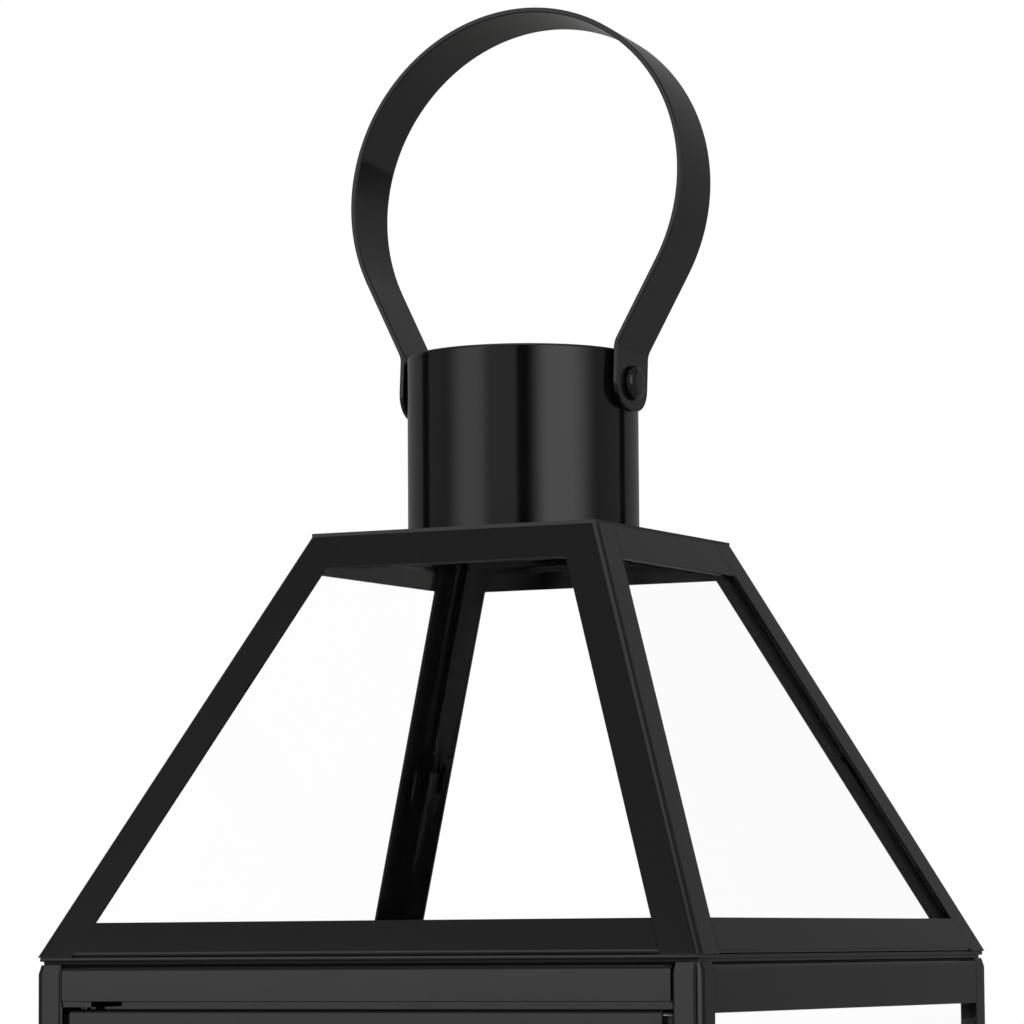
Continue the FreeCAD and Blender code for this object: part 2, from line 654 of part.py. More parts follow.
def strap_path(body):
    """The strap's middle line: straight up past the chimney, out, round the ring and down again."""
    sketch = new_sketch(body, "XZ_Plane")
    side, ring, bend = num("strap_middle"), num("ring_radius"), num("strap_bend")
    flare = math.radians(num("leg_flare"))
    outward = V(math.cos(flare), -math.sin(flare), 0)
    upward = V(math.sin(flare), math.cos(flare), 0)
    foot, knee = V(side, -num("strap_foot"), 0), V(side, num("strap_straight"), 0)
    bend_middle = knee + V(bend, 0, 0)
    on_bend = bend_middle - outward * bend
    halfway = bend_middle - (outward + V(1, 0, 0)).normalize() * bend
    on_ring = on_bend + upward * ((ring * outward.x - on_bend.x) / upward.x)
    top = on_ring - outward * ring + V(0, ring, 0)

    def flipped(point):
        return V(-point.x, point.y, 0)
    sketch.addGeometry([Part.LineSegment(foot, knee), Part.Arc(knee, halfway, on_bend),
                        Part.LineSegment(on_bend, on_ring), Part.Arc(on_ring, top, flipped(on_ring)),
                        Part.LineSegment(flipped(on_ring), flipped(on_bend)),
                        Part.Arc(flipped(on_bend), flipped(halfway), flipped(knee)),
                        Part.LineSegment(flipped(knee), flipped(foot))], False)

    def end_near(item, point):
        return min((1, 2), key=lambda end: (sketch.getPoint(item, end) - point).Length)
    meetings = [knee, on_bend, on_ring, flipped(on_ring), flipped(on_bend), flipped(knee)]
    constraints = []
    for item, spot in enumerate(meetings):
        ends = item, end_near(item, spot), item + 1, end_near(item + 1, spot)
        constraints.append(Sketcher.Constraint("Tangent", *ends))
    constraints.append(Sketcher.Constraint("PointOnObject", 3, 3, -2))
    formulas = [(len(constraints), "90 deg - leg_flare * 1 deg")]
    constraints.append(Sketcher.Constraint("Angle", 2, math.radians(90) - flare))
    for item, formula in ((1, "strap_bend"), (3, "ring_radius"), (5, "strap_bend")):
        formulas.append((len(constraints), formula))
        constraints.append(Sketcher.Constraint("Radius", item, num(formula)))
    place_point(constraints, formulas, 0, 1, "strap_middle", "-strap_foot")
    place_point(constraints, formulas, 0, 2, "strap_middle", "strap_straight")
    place_point(constraints, formulas, 6, 1, "-strap_middle", "strap_straight")
    place_point(constraints, formulas, 6, 2, "-strap_middle", "-strap_foot")
    hold(sketch, constraints, formulas)
    return sketch


# Door
def door_stile(label, side):
    body = new_body(label)
    corner = ("door_half" if side > 0 else "-door_half", "-half")
    legs = ((-side, 0), "door_frame"), ((0, 1), "door_depth")
    sketch = folded_angle(body, "XY_Plane", corner, *legs, "door_radius", "door_low + door_frame")
    pad(body, sketch, "door_top - door_low - 2 * door_frame")


def door_rail(label, edge, way):
    body = new_body(label)
    legs = ((0, way), "door_frame"), ((1, 0), "door_depth")
    sketch = folded_angle(body, "YZ_Plane", ("-half", edge), *legs, "door_radius")
    pad(body, sketch, "2 * door_half", "Symmetric")
    hole = circle(body, "XY_Plane", "pivot_x", "pivot_y", "pin_diameter + 2 * fit", edge)
    pocket(body, hole, "4 * sheet")


def door_pane():
    body = new_body("door_pane")
    low, high = "door_low + door_frame - door_pane_lap", "door_top - door_frame + door_pane_lap"
    corners = ("-door_pane_half", "-pane_outer"), ("door_pane_half", "-pane_inner")
    pad(body, box_outline(body, "XY_Plane", *corners, low), "(%s) - (%s)" % (high, low))


def door_pane_clips(master):
    places = []
    for height in ("door_low + door_clip_inset", "door_top - door_clip_inset"):
        places.append(moved("door_pane_half", "-inner_half", height))
        places.append(moved("-door_pane_half", "-inner_half", height, (0, 1, 0), "180"))
    spread("door_pane_clips", master, places)


def pivot_pin(label, edge, way, shoulder):
    """A pin headed inside the door's rail that turns in a lug, drawn upwards and flipped if way is -1."""
    body = new_body(label)
    pin, head = "pin_diameter / 2", "pin_head / 2"
    gap = "door_foot_gap - lug_thick" if shoulder else "door_top_gap - lug_thick"
    tip = gap + " + lug_thick + pin_reach"
    low = "-sheet - pin_head_height"
    profile = [("0", low), (head, low), (head, "-sheet"), (pin, "-sheet")]
    if shoulder:
        profile += [(pin, "0"), (head, "0"), (head, gap + " - fit"), (pin, gap + " - fit")]
    profile += [(pin, tip), ("0", tip)]
    turn(body, profile)
    set_place(body, moved("pivot_x", "pivot_y", edge, (1, 0, 0), "0" if way > 0 else "180"))


def hinge_lug(label, edge, way):
    """A bent lug under the rail's edge, with its leg welded inside the rail."""
    body = new_body(label)
    face, inside = "-half + fit", "-inner_half"
    near_edge, far_edge = edge, "%s - (%d) * lug_thick" % (edge, way)
    leg = "%s + (%d) * lug_leg" % (edge, way)
    corners = [(face, far_edge), ("-half + lug_reach", far_edge), ("-half + lug_reach", near_edge),
               (inside + " + lug_thick", near_edge), (inside + " + lug_thick", leg), (inside, leg),
               (inside, near_edge), (face, near_edge)]
    sketch = outline(body, "YZ_Plane", corners, "pivot_x - lug_width / 2")
    pad(body, sketch, "lug_width")
    hole = circle(body, "XY_Plane", "pivot_x", "pivot_y", "pin_diameter + 2 * fit", edge)
    pocket(body, hole, "4 * lug_thick")


def door_knob():
    body = new_body("door_knob")
    neck, wide = "knob_neck / 2", "knob_diameter / 2"
    shoulder, top = "knob_neck_length", "knob_length"
    turn(body, [("0", "0"), (neck, "0"), (neck, shoulder), (wide, shoulder), (wide, top), ("0", top)])

    def rim(edge):
        return near(edge.BoundBox.ZMin, top) and edge.BoundBox.XLength > TOUCH
    round_off(body, "knob_radius", rim)
    set_place(body, moved("knob_x", "-half", "knob_height", (1, 0, 0), "90"))


# Catch
def latch_rivet():
    body = new_body("latch_rivet")
    shank, head, tail = "latch_rivet_diameter / 2", "latch_rivet_head / 2", "latch_rivet_tail / 2"
    seat = "latch_clear + latch_thick + head_clear"
    low, top = "-2 * sheet", seat + " + latch_rivet_dome"
    set_end = [("0", low), (tail, low), (tail, "-sheet"), (shank, "-sheet")]
    turn(body, set_end + [(shank, seat), (head, seat), (head, top), ("0", top)])
    set_place(body, moved("latch_x", "-half", "latch_height", (1, 0, 0), "90"))


def latch_lever():
    """A swinging catch that hangs from its rivet: x across, y up, z out of the body's face."""
    body = new_body("latch_lever")
    sketch = new_sketch(body, "XY_Plane", "latch_clear")
    side, reach = num("latch_width / 2"), num("latch_reach")
    low = V(0, -reach, 0)
    sketch.addGeometry([Part.Arc(V(side, 0, 0), V(0, side, 0), V(-side, 0, 0)),
                        Part.LineSegment(V(-side, 0, 0), V(-side, -reach, 0)),
                        Part.Arc(V(-side, -reach, 0), low - V(0, side, 0), V(side, -reach, 0)),
                        Part.LineSegment(V(side, -reach, 0), V(side, 0, 0))], False)
    constraints = [Sketcher.Constraint("Tangent", 0, 2, 1, 1), Sketcher.Constraint("Tangent", 1, 2, 2, 1),
                   Sketcher.Constraint("Tangent", 2, 2, 3, 1), Sketcher.Constraint("Tangent", 3, 2, 0, 1),
                   Sketcher.Constraint("Coincident", 0, 3, -1, 1), Sketcher.Constraint("Equal", 0, 2),
                   Sketcher.Constraint("Radius", 0, side)]
    formulas = [(6, "latch_width / 2")]
    place_point(constraints, formulas, 2, 3, "0", "-latch_reach")
    hold(sketch, constraints, formulas)
    pad(body, sketch, "latch_thick")
    face = "latch_clear + latch_thick"
    pad(body, circle(body, "XY_Plane", "0", "-latch_reach", "button_diameter", face), "button_height")
    hole = circle(body, "XY_Plane", "0", "0", "latch_rivet_diameter + 2 * fit", face)
    pocket(body, hole, "4 * latch_thick")
    set_place(body, moved("latch_x", "-half", "latch_height", (1, 0, 0), "90"))


def build():
    for index, corner in enumerate(CORNERS):
        corner_post(index, corner)
    for index, face in enumerate(FACES):
        top_rail(index, face)
        bottom_rail(index, face)
    floor_plate()
    candle_plate()
    for index, face in enumerate(FACES[1:], start=1):
        body_pane(index, face)
    clip = clip_master()
    body_pane_clips(clip)
    roof_seat_bars()
    slab, blocks = roof_tools()
    for index, corner in enumerate(CORNERS):
        hip_bar(index, corner, slab)
    for index, face in enumerate(FACES):
        eave_rail(index, face, blocks[index])
        crown_rail(index, face, slab)
        roof_pane(index, face)
    roof_pane_clips(clip)
    crown_plate()
    chimney()
    handle_strap()
    handle_rivet("right_handle_rivet", "90")
    handle_rivet("left_handle_rivet", "-90")
    door_stile("door_hinge_stile", -1)
    door_stile("door_latch_stile", 1)
    door_rail("door_top_rail", "door_top", -1)
    door_rail("door_bottom_rail", "door_low", 1)
    door_pane()
    door_pane_clips(clip)
    pivot_pin("upper_pivot_pin", "door_top", 1, False)
    pivot_pin("lower_pivot_pin", "door_low", -1, True)
    hinge_lug("upper_hinge_lug", "front_rail_low", 1)
    hinge_lug("lower_hinge_lug", "sill_top", -1)
    door_knob()
    latch_rivet()
    latch_lever()


def save():
    """Check every object, then write each node to its own file."""
    doc.recompute()
    for item in doc.Objects:
        if "Invalid" in item.State or "Error" in item.State:
            raise RuntimeError("%s does not compute: %s" % (item.Name, item.State))
    os.makedirs("parts", exist_ok=True)
    for node in nodes:
        if node.Shape.isNull() or not node.Shape.isValid() or not node.Shape.Solids:
            raise RuntimeError(node.Label + " has no sound solid")
        node.Shape.exportStep("parts/%s.step" % node.Label)


build()
save()
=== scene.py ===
import json
import math

import bmesh
import bpy
from mathutils import Matrix, Vector


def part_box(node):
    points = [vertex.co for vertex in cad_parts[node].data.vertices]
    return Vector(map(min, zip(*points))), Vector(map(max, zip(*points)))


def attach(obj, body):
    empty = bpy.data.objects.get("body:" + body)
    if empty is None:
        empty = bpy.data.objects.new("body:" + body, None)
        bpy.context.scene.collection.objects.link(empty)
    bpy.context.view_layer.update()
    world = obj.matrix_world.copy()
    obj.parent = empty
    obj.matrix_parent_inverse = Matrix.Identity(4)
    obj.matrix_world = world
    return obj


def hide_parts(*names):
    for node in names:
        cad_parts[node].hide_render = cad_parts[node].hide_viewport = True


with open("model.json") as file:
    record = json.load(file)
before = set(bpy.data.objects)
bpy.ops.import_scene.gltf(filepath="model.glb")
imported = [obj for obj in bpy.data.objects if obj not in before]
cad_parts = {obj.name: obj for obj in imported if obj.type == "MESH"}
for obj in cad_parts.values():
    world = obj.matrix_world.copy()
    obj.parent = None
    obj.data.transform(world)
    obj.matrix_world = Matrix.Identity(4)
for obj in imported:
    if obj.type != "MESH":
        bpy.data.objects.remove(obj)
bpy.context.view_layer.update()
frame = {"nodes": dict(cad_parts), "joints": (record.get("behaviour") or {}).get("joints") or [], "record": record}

bl_info = {
    "name": "Candle Lantern",
    "version": (1, 0, 0),
    "blender": (4, 5, 0),
    "location": "View3D > Sidebar > Lantern",
    "description": "Dresses the candle lantern's CAD frame in folded, coated sheet and clear glass",
    "category": "Add Mesh",
}

MM = 0.001
FACES = ("front", "right", "back", "left")
CORNERS = ("front_right", "back_right", "back_left", "front_left")
QUARTER = math.radians(90)
WELD = 0.001 * MM
SHARP = math.radians(35)
TURN_STEPS = 96
FOLD_STEPS = 8
WHITE = (1, 1, 1, 1)

# Heights, half widths and the roof's slope, read from the frame. The hip is the front right one
BODY_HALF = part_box("back_top_rail")[1].y
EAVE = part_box("front_eave_rail")[0].z
ROOF_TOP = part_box("chimney")[0].z
CROWN_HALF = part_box("crown_plate")[1].x
RUN = BODY_HALF - CROWN_HALF
RISE = ROOF_TOP - EAVE
SLOPE = math.hypot(RUN, RISE)
UP_SLOPE = Vector((0, RUN / SLOPE, RISE / SLOPE))
OFF_SLOPE = Vector((0, -RISE / SLOPE, RUN / SLOPE))
SIDE_OFF_SLOPE = Vector((-OFF_SLOPE.y, 0, OFF_SLOPE.z))
HIP_FOOT = Vector((BODY_HALF, -BODY_HALF, EAVE))
HIP_RUN = Vector((-RUN, RUN, RISE))
JOINTS = {joint["name"]: joint for joint in frame["joints"]}


def linear(code):
    """An sRGB hex colour as linear red, green, blue and alpha."""
    parts = [int(code[place:place + 2], 16) / 255 for place in (0, 2, 4)]
    return tuple(p / 12.92 if p <= 0.04045 else ((p + 0.055) / 1.055) ** 2.4 for p in parts) + (1.0,)


# Sizes and colours that a user would change
def length(name, about, value):
    """A length given in millimetres."""
    return bpy.props.FloatProperty(name=name, description=about, default=value * MM, unit="LENGTH",
                                   precision=5)


def angle(name, about, degrees):
    """An angle given in degrees."""
    return bpy.props.FloatProperty(name=name, description=about, default=math.radians(degrees),
                                   subtype="ANGLE")


def colour(name, about, code):
    """A colour given as an sRGB hex code."""
    return bpy.props.FloatVectorProperty(name=name, description=about, default=linear(code), size=4,
                                         subtype="COLOR", min=0, max=1)


def share(name, about, value):
    """A number from 0 to 1."""
    return bpy.props.FloatProperty(name=name, description=about, default=value, subtype="FACTOR",
                                   min=0, max=1)


class LanternSheet(bpy.types.PropertyGroup):
    """Sizes of the folded sheet"""

    thick: length("Sheet", "Thickness of the folded sheet", 1.0)
    post_fold: length("Post fold", "Outside radius of the folds in posts and top rails", 2.5)
    sill_fold: length("Sill fold", "Outside radius of the folds in bottom rails and door stops", 1.2)
    hip_fold: length("Hip fold", "Outside radius of a hip bar's fold", 2.0)
    eave_fold: length("Eave fold", "Outside radius of an eave rail's fold", 1.0)
    door_fold: length("Door fold", "Outside radius of the folds in the door's frame", 1.5)
    hip_leg: length("Hip leg", "Width of each leg of a hip bar", 10.7)
    eave_width: length("Eave rail", "Width of an eave rail up the slope", 10.4)
    eave_foot: length("Eave foot", "Width of an eave rail's turned-in foot", 8.0)
    crown_width: length("Crown rail", "Width of a crown rail down the slope", 11.5)
    edge_break: length("Edge break", "Rounding of the sheet's cut edges under the coating", 0.2)
    stop: length("Door stop", "Depth of the folds that the door closes against", 9.0)
    crimp: length("Crimp", "How far a post's top is drawn in", 0.8)
    crimp_height: length("Crimp height", "Height of the drawn-in top of a post", 2.5)


class LanternHandle(bpy.types.PropertyGroup):
    """Sizes of the strap handle"""

    thick: length("Strap", "Thickness of the strap", 1.5)
    width: length("Strap width", "Width of the strap", 20.0)
    gap: length("Gap", "Clearance between strap and chimney", 0.3)
    ring: length("Ring", "Radius of the ring's middle line", 52.3)
    bend: length("Bend", "Radius of the strap's middle line where it leaves the chimney", 6.0)
    straight: length("Straight", "Straight height of the strap over its pivots", 8.5)
    foot: length("Foot", "From the pivots down to the strap's ends", 7.5)
    end_round: length("End rounding", "Corner radius of the strap's ends", 7.0)
    edge_break: length("Edge break", "Rounding of the strap's edges", 0.35)
    flare: angle("Flare", "How far the legs lean out between chimney and ring", 28.0)
    lean: angle("Lean", "How far the handle leans back at rest", 4.7)


class LanternFinish(bpy.types.PropertyGroup):
    """Colours and surfaces"""

    coat: colour("Coating", "Colour of the powder coating", "070708")
    coat_thin: colour("Thin coating", "Colour of the coating where it lies thin", "0d0d0e")
    coat_smooth: share("Smoothest coating", "Lowest roughness of the coating", 0.07)
    coat_rough: share("Roughest coating", "Highest roughness of the coating", 0.12)
    peel: length("Orange peel", "Distance between the dimples of the coating", 0.9)
    ripple: length("Ripple", "Distance between the waves of the hand-folded sheet", 55.0)
    glass: colour("Glass", "Tint of the panes", "ffffff")
    glass_bend: bpy.props.FloatProperty(name="Glass IOR", default=1.06, min=1, max=2,
                                        description="Refraction of the panes, low so that they stay white")
    paper: colour("Floor", "Colour of the paper floor", "e4e3e1")
    # Painted reflection: mirrored rays see the floor in this darker grey, so the coating mirrors a darker floor
    # than the lit one
    paper_painted_reflection: colour("Floor in gloss", "Colour of the floor where the coating mirrors it", "8c8c8a")


class LanternStudio(bpy.types.PropertyGroup):
    """Camera and light"""

    side: angle("Camera side", "How far round to the right of the door the camera stands", 26.804)
    turn: angle("Camera turn", "How far the camera looks to the left of the lantern's middle", 0.145)
    pitch: angle("Camera pitch", "How far the camera looks up", 5.358)
    roll: angle("Camera roll", "How far the picture is turned", 0.385)
    away: length("Camera distance", "From the lantern's middle to the camera", 1310.7)
    height: length("Camera height", "Height of the camera over the table", 272.7)
    lens: bpy.props.FloatProperty(name="Lens", description="Focal length of the camera", default=162.22,
                                  unit="CAMERA")
    fill: share("Fill light", "Strength of the even light from all round", 0.8)


# Shaping
def only(kind, things):
    """Those of some mesh elements that are of one kind."""
    return [thing for thing in things if isinstance(thing, kind)]


def polyline(bm, points, rounds):
    """A line of edges whose inner corners are rounded to the given radii."""
    verts = [bm.verts.new(point) for point in points]
    for start, end in zip(verts, verts[1:]):
        bm.edges.new((start, end))
    for vert, before, after, radius in zip(verts[1:-1], points, points[2:], rounds):
        if radius:
            bent = (Vector(vert.co) - Vector(before)).angle(Vector(after) - Vector(vert.co))
            bmesh.ops.bevel(bm, geom=[vert], offset=radius * math.tan(bent / 2), offset_type="OFFSET",
                            segments=FOLD_STEPS, profile=0.5, affect="VERTICES", material=-1)


def drawn_out(points, rounds, along, outside):
    """Sheet with rounded folds, drawn out from its outer line, its faces turned to the outside."""
    bm = bmesh.new()
    polyline(bm, points, rounds)
    made = bmesh.ops.extrude_edge_only(bm, edges=bm.edges[:])["geom"]
    bmesh.ops.translate(bm, vec=along, verts=only(bmesh.types.BMVert, made))
    return facing(bm, outside)


def facing(bm, outside):
    """Turn a sheet's faces to the outside."""
    bmesh.ops.recalc_face_normals(bm, faces=bm.faces[:])
    bm.normal_update()
    if sum((face.normal * face.calc_area() for face in bm.faces), Vector()).dot(Vector(outside)) < 0:
        bmesh.ops.reverse_faces(bm, faces=bm.faces[:])
    return bm


def trim(bm, point, away):
    """Cut off what lies beyond a plane, and close the cut if the piece was closed."""
    closed = all(edge.is_manifold for edge in bm.edges)
    bmesh.ops.bisect_plane(bm, geom=bm.verts[:] + bm.edges[:] + bm.faces[:], dist=WELD, plane_co=point,
                           plane_no=away, clear_outer=True)
    if closed:
        bmesh.ops.holes_fill(bm, edges=[edge for edge in bm.edges if edge.is_boundary], sides=0)


def thicken(bm, thick):
    """Give a sheet its thickness, inwards from its outer faces."""
    bmesh.ops.solidify(bm, geom=bm.faces[:], thickness=thick)


def break_edges(bm, size, steps=2):
    """Round off every sharp edge a little, as deburring and coating leave it."""
    sharp = [edge for edge in bm.edges if edge.is_manifold and edge.calc_face_angle() > SHARP]
    bmesh.ops.bevel(bm, geom=sharp, offset=size, offset_type="OFFSET", segments=steps, profile=0.5,
                    affect="EDGES", clamp_overlap=True, material=-1)


def block(bm, low, high):
    """A box between two corners."""
    low, high = Vector(low), Vector(high)
    size = Matrix.Diagonal((high - low).to_4d())
    bmesh.ops.create_cube(bm, size=1, matrix=Matrix.Translation((low + high) / 2) @ size)


def quarter_turned(bm, quarters):
    """Turn a piece made for the front to another side of the lantern."""
    turn = Matrix.Rotation(quarters * QUARTER, 3, "Z")
    bmesh.ops.rotate(bm, cent=(0, 0, 0), matrix=turn, verts=bm.verts[:])
    return bm


def turned(points, rounds, steps=TURN_STEPS):
    """A piece turned about Z from a line of (radius, height) points whose ends lie on the axis or meet."""
    bm = bmesh.new()
    polyline(bm, [(radius, 0, height) for radius, height in points], rounds)
    bmesh.ops.remove_doubles(bm, verts=bm.verts[:], dist=WELD)
    bmesh.ops.spin(bm, geom=bm.verts[:] + bm.edges[:], cent=(0, 0, 0), axis=(0, 0, 1), dvec=(0, 0, 0),
                   angle=math.radians(360), steps=steps, use_merge=True)
    bmesh.ops.remove_doubles(bm, verts=bm.verts[:], dist=WELD)
    bmesh.ops.recalc_face_normals(bm, faces=bm.faces[:])
    return bm


def put(bm, place):
    """Move a piece to its place."""
    bmesh.ops.transform(bm, matrix=place, verts=bm.verts[:])
    return bm


def join(bm, other):
    """Add a second closed shell to a mesh."""
    spare = bpy.data.meshes.new("spare")
    other.to_mesh(spare)
    other.free()
    bm.from_mesh(spare)
    bpy.data.meshes.remove(spare)


def body_of(node):
    """The moving body that a CAD node belongs to."""
    bodies = frame["record"]["behaviour"]["bodies"]
    return next(body for body, members in bodies.items() if node in members)


def stand_for(bm, node, finish):
    """Make a shaped mesh the piece that stands for a CAD node."""
    for face in bm.faces:
        face.smooth = True
    for edge in bm.edges:
        edge.smooth = edge.is_manifold and edge.calc_face_angle() < SHARP
    mesh = bpy.data.meshes.new(node + "_formed")
    bm.to_mesh(mesh)
    bm.free()
    mesh.materials.append(finish)
    piece = bpy.data.objects.new(node + "_formed", mesh)
    bpy.context.scene.collection.objects.link(piece)
    weighting = piece.modifiers.new("even_shading", "WEIGHTED_NORMAL")
    weighting.keep_sharp = True
    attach(piece, body_of(node))
    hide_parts(node)
    return piece


def coated(bm, node):
    """Make a shaped mesh stand for a CAD node in coated steel."""
    return stand_for(bm, node, black_powder_coat())


def dress(node, finish):
    """Give a CAD node that stays its finish."""
    mesh = frame["nodes"][node].data
    mesh.materials.clear()
    mesh.materials.append(finish)
    return frame["nodes"][node]


# Finishes
# Between no bounce of a ray and one
ANY_BOUNCE = 0.5


def add(tree, kind, settings=(), values=(), links=()):
    """Add a node with its settings, its input values and its links from (node, output)."""
    node = tree.nodes.new(kind)
    for name, value in dict(settings).items():
        setattr(node, name, value)
    for socket, value in dict(values).items():
        node.inputs[socket].default_value = value
    for socket, (source, output) in dict(links).items():
        tree.links.new(source.outputs[output], node.inputs[socket])
    return node


def new_finish(name):
    """An empty material and its nodes."""
    material = bpy.data.materials.new(name)
    material.use_nodes = True
    material.node_tree.nodes.clear()
    return material, material.node_tree


def black_powder_coat():
    """Semi-gloss black polyester powder on folded steel: clear reflections broken by a fine orange peel,
    and slow ripples where the sheet was folded by hand."""
    name = "semi_gloss_black_powder_coat"
    if name in bpy.data.materials:
        return bpy.data.materials[name]
    look = bpy.context.scene.lantern_finish
    patch = 14 * MM
    wave_height, dimple_depth = 0.05 * MM, 0.006 * MM
    material, tree = new_finish(name)
    place = add(tree, "ShaderNodeTexCoord")
    peel = add(tree, "ShaderNodeTexNoise", values={"Scale": 1 / look.peel, "Detail": 2.0, "Roughness": 0.55},
               links={"Vector": (place, "Object")})
    ripple = add(tree, "ShaderNodeTexNoise", values={"Scale": 1 / look.ripple, "Detail": 1.0},
                 links={"Vector": (place, "Object")})
    # The coating's thickness and gloss drift from patch to patch
    drift = add(tree, "ShaderNodeTexNoise", values={"Scale": 1 / patch, "Detail": 4.0, "Roughness": 0.6},
                links={"Vector": (place, "Object")})
    tone = add(tree, "ShaderNodeMix", {"data_type": "RGBA"},
               {"A": look.coat, "B": look.coat_thin}, {"Factor": (drift, "Fac")})
    rough = add(tree, "ShaderNodeMapRange",
                values={"From Min": 0.3, "From Max": 0.7, "To Min": look.coat_smooth,
                        "To Max": look.coat_rough},
                links={"Value": (drift, "Fac")})
    waves = add(tree, "ShaderNodeBump", values={"Strength": 1.0, "Distance": wave_height},
                links={"Height": (ripple, "Fac")})
    dimples = add(tree, "ShaderNodeBump", values={"Strength": 1.0, "Distance": dimple_depth},
                  links={"Height": (peel, "Fac"), "Normal": (waves, "Normal")})
    shader = add(tree, "ShaderNodeBsdfPrincipled", values={"IOR": 1.5},
                 links={"Base Color": (tone, "Result"), "Roughness": (rough, "Result"),
                        "Normal": (dimples, "Normal")})
    add(tree, "ShaderNodeOutputMaterial", links={"Surface": (shader, "BSDF")})
    return material


def clear_float_glass():
    """Clear float glass: flat and polished, nearly unseen against white, with a trace of wiping marks."""
    name = "clear_float_glass"
    if name in bpy.data.materials:
        return bpy.data.materials[name]
    look = bpy.context.scene.lantern_finish
    mark_width = 4 * MM
    material, tree = new_finish(name)
    place = add(tree, "ShaderNodeTexCoord")
    # Wiping marks are streaks five times as long as wide
    stretch = add(tree, "ShaderNodeMapping", values={"Scale": (1.0, 1.0, 0.2), "Rotation": (0.5, 0.4, 0.0)},
                  links={"Vector": (place, "Object")})
    marks = add(tree, "ShaderNodeTexNoise", values={"Scale": 1 / mark_width, "Detail": 3.0},
                links={"Vector": (stretch, "Vector")})
    rough = add(tree, "ShaderNodeMapRange",
                values={"From Min": 0.55, "From Max": 0.8, "To Min": 0.0, "To Max": 0.03},
                links={"Value": (marks, "Fac")})
    shader = add(tree, "ShaderNodeBsdfPrincipled",
                 values={"Base Color": look.glass, "IOR": look.glass_bend, "Transmission Weight": 1.0},
                 links={"Roughness": (rough, "Result")})
    add(tree, "ShaderNodeOutputMaterial", links={"Surface": (shader, "BSDF")})
    return material


def white_paper():
    """Matt studio paper with a faint tooth, which the light bleaches to white away from the lantern."""
    look = bpy.context.scene.lantern_finish
    grain, tooth_height = 1.5 * MM, 0.02 * MM
    bleach_start, bleach_end = 0.25, 1.8
    material, tree = new_finish("white_studio_paper")
    place = add(tree, "ShaderNodeTexCoord")
    tooth = add(tree, "ShaderNodeTexNoise", values={"Scale": 1 / grain}, links={"Vector": (place, "Object")})
    relief = add(tree, "ShaderNodeBump", values={"Strength": 0.2, "Distance": tooth_height},
                 links={"Height": (tooth, "Fac")})
    path = add(tree, "ShaderNodeLightPath")
    # Painted reflection: rays mirrored off the coating see the floor painted in the darker grey, not in its own
    # colour
    mirrored = add(tree, "ShaderNodeMath", {"operation": "GREATER_THAN"}, {1: ANY_BOUNCE},
                   {0: (path, "Glossy Depth")})
    tone = add(tree, "ShaderNodeMix", {"data_type": "RGBA"}, {"A": look.paper, "B": look.paper_painted_reflection},
               {"Factor": (mirrored, "Value")})
    shader = add(tree, "ShaderNodeBsdfPrincipled", values={"Roughness": 0.9, "Specular IOR Level": 0.2},
                 links={"Base Color": (tone, "Result"), "Normal": (relief, "Normal")})
    # Only rays from the camera, straight or through glass, see the white
    bounced = add(tree, "ShaderNodeMath", {"operation": "ADD"},
                  links={0: (path, "Glossy Depth"), 1: (path, "Diffuse Depth")})
    straight = add(tree, "ShaderNodeMath", {"operation": "LESS_THAN"}, {1: ANY_BOUNCE},
                   {0: (bounced, "Value")})
    away = add(tree, "ShaderNodeVectorMath", {"operation": "LENGTH"}, links={0: (place, "Object")})
    bleached = add(tree, "ShaderNodeMapRange", {"interpolation_type": "SMOOTHSTEP"},
                   {"From Min": bleach_start, "From Max": bleach_end}, {"Value": (away, "Value")})
    fade = add(tree, "ShaderNodeMath", {"operation": "MULTIPLY"},
               links={0: (straight, "Value"), 1: (bleached, "Result")})
    white = add(tree, "ShaderNodeEmission", values={"Color": WHITE, "Strength": 1.0})
    whole = add(tree, "ShaderNodeMixShader",
                links={0: (fade, "Value"), 1: (shader, "BSDF"), 2: (white, "Emission")})
    add(tree, "ShaderNodeOutputMaterial", links={"Surface": (whole, "Shader")})
    return material


# Body
def sheet_of(context):
    """The sizes of the folded sheet."""
    return context.scene.lantern_sheet


class LANTERN_OT_posts(bpy.types.Operator):
    """Fold the four corner posts"""

    bl_idname = "lantern.posts"
    bl_label = "Corner posts"

    def execute(self, context):
        metal = sheet_of(context)
        low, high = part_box("front_right_post")
        corners = [(low.x, low.y, low.z), (high.x, low.y, low.z), (high.x, high.y, low.z)]
        # The front posts have a third leg beside the door
        stops = {"front_right": ([(low.x, low.y + metal.stop, low.z)], []),
                 "front_left": ([], [(high.x - metal.stop, high.y, low.z)])}
        for index, corner in enumerate(CORNERS):
            first, last = stops.get(corner, ([], []))
            folds = [metal.sill_fold] * len(first) + [metal.post_fold] + [metal.sill_fold] * len(last)
            bm = drawn_out(first + corners + last, folds, (0, 0, high.z - low.z), (1, -1, 0))
            bmesh.ops.bisect_plane(bm, geom=bm.verts[:] + bm.edges[:] + bm.faces[:], dist=WELD,
                                   plane_co=(0, 0, high.z - metal.crimp_height), plane_no=(0, 0, 1))
            bm.normal_update()
            # The top edge is drawn in a little
            for vert in bm.verts:
                if vert.co.z > high.z - WELD:
                    vert.co -= vert.normal * metal.crimp
            thicken(bm, metal.thick)
            break_edges(bm, metal.edge_break)
            coated(quarter_turned(bm, index), corner + "_post")
        return {"FINISHED"}


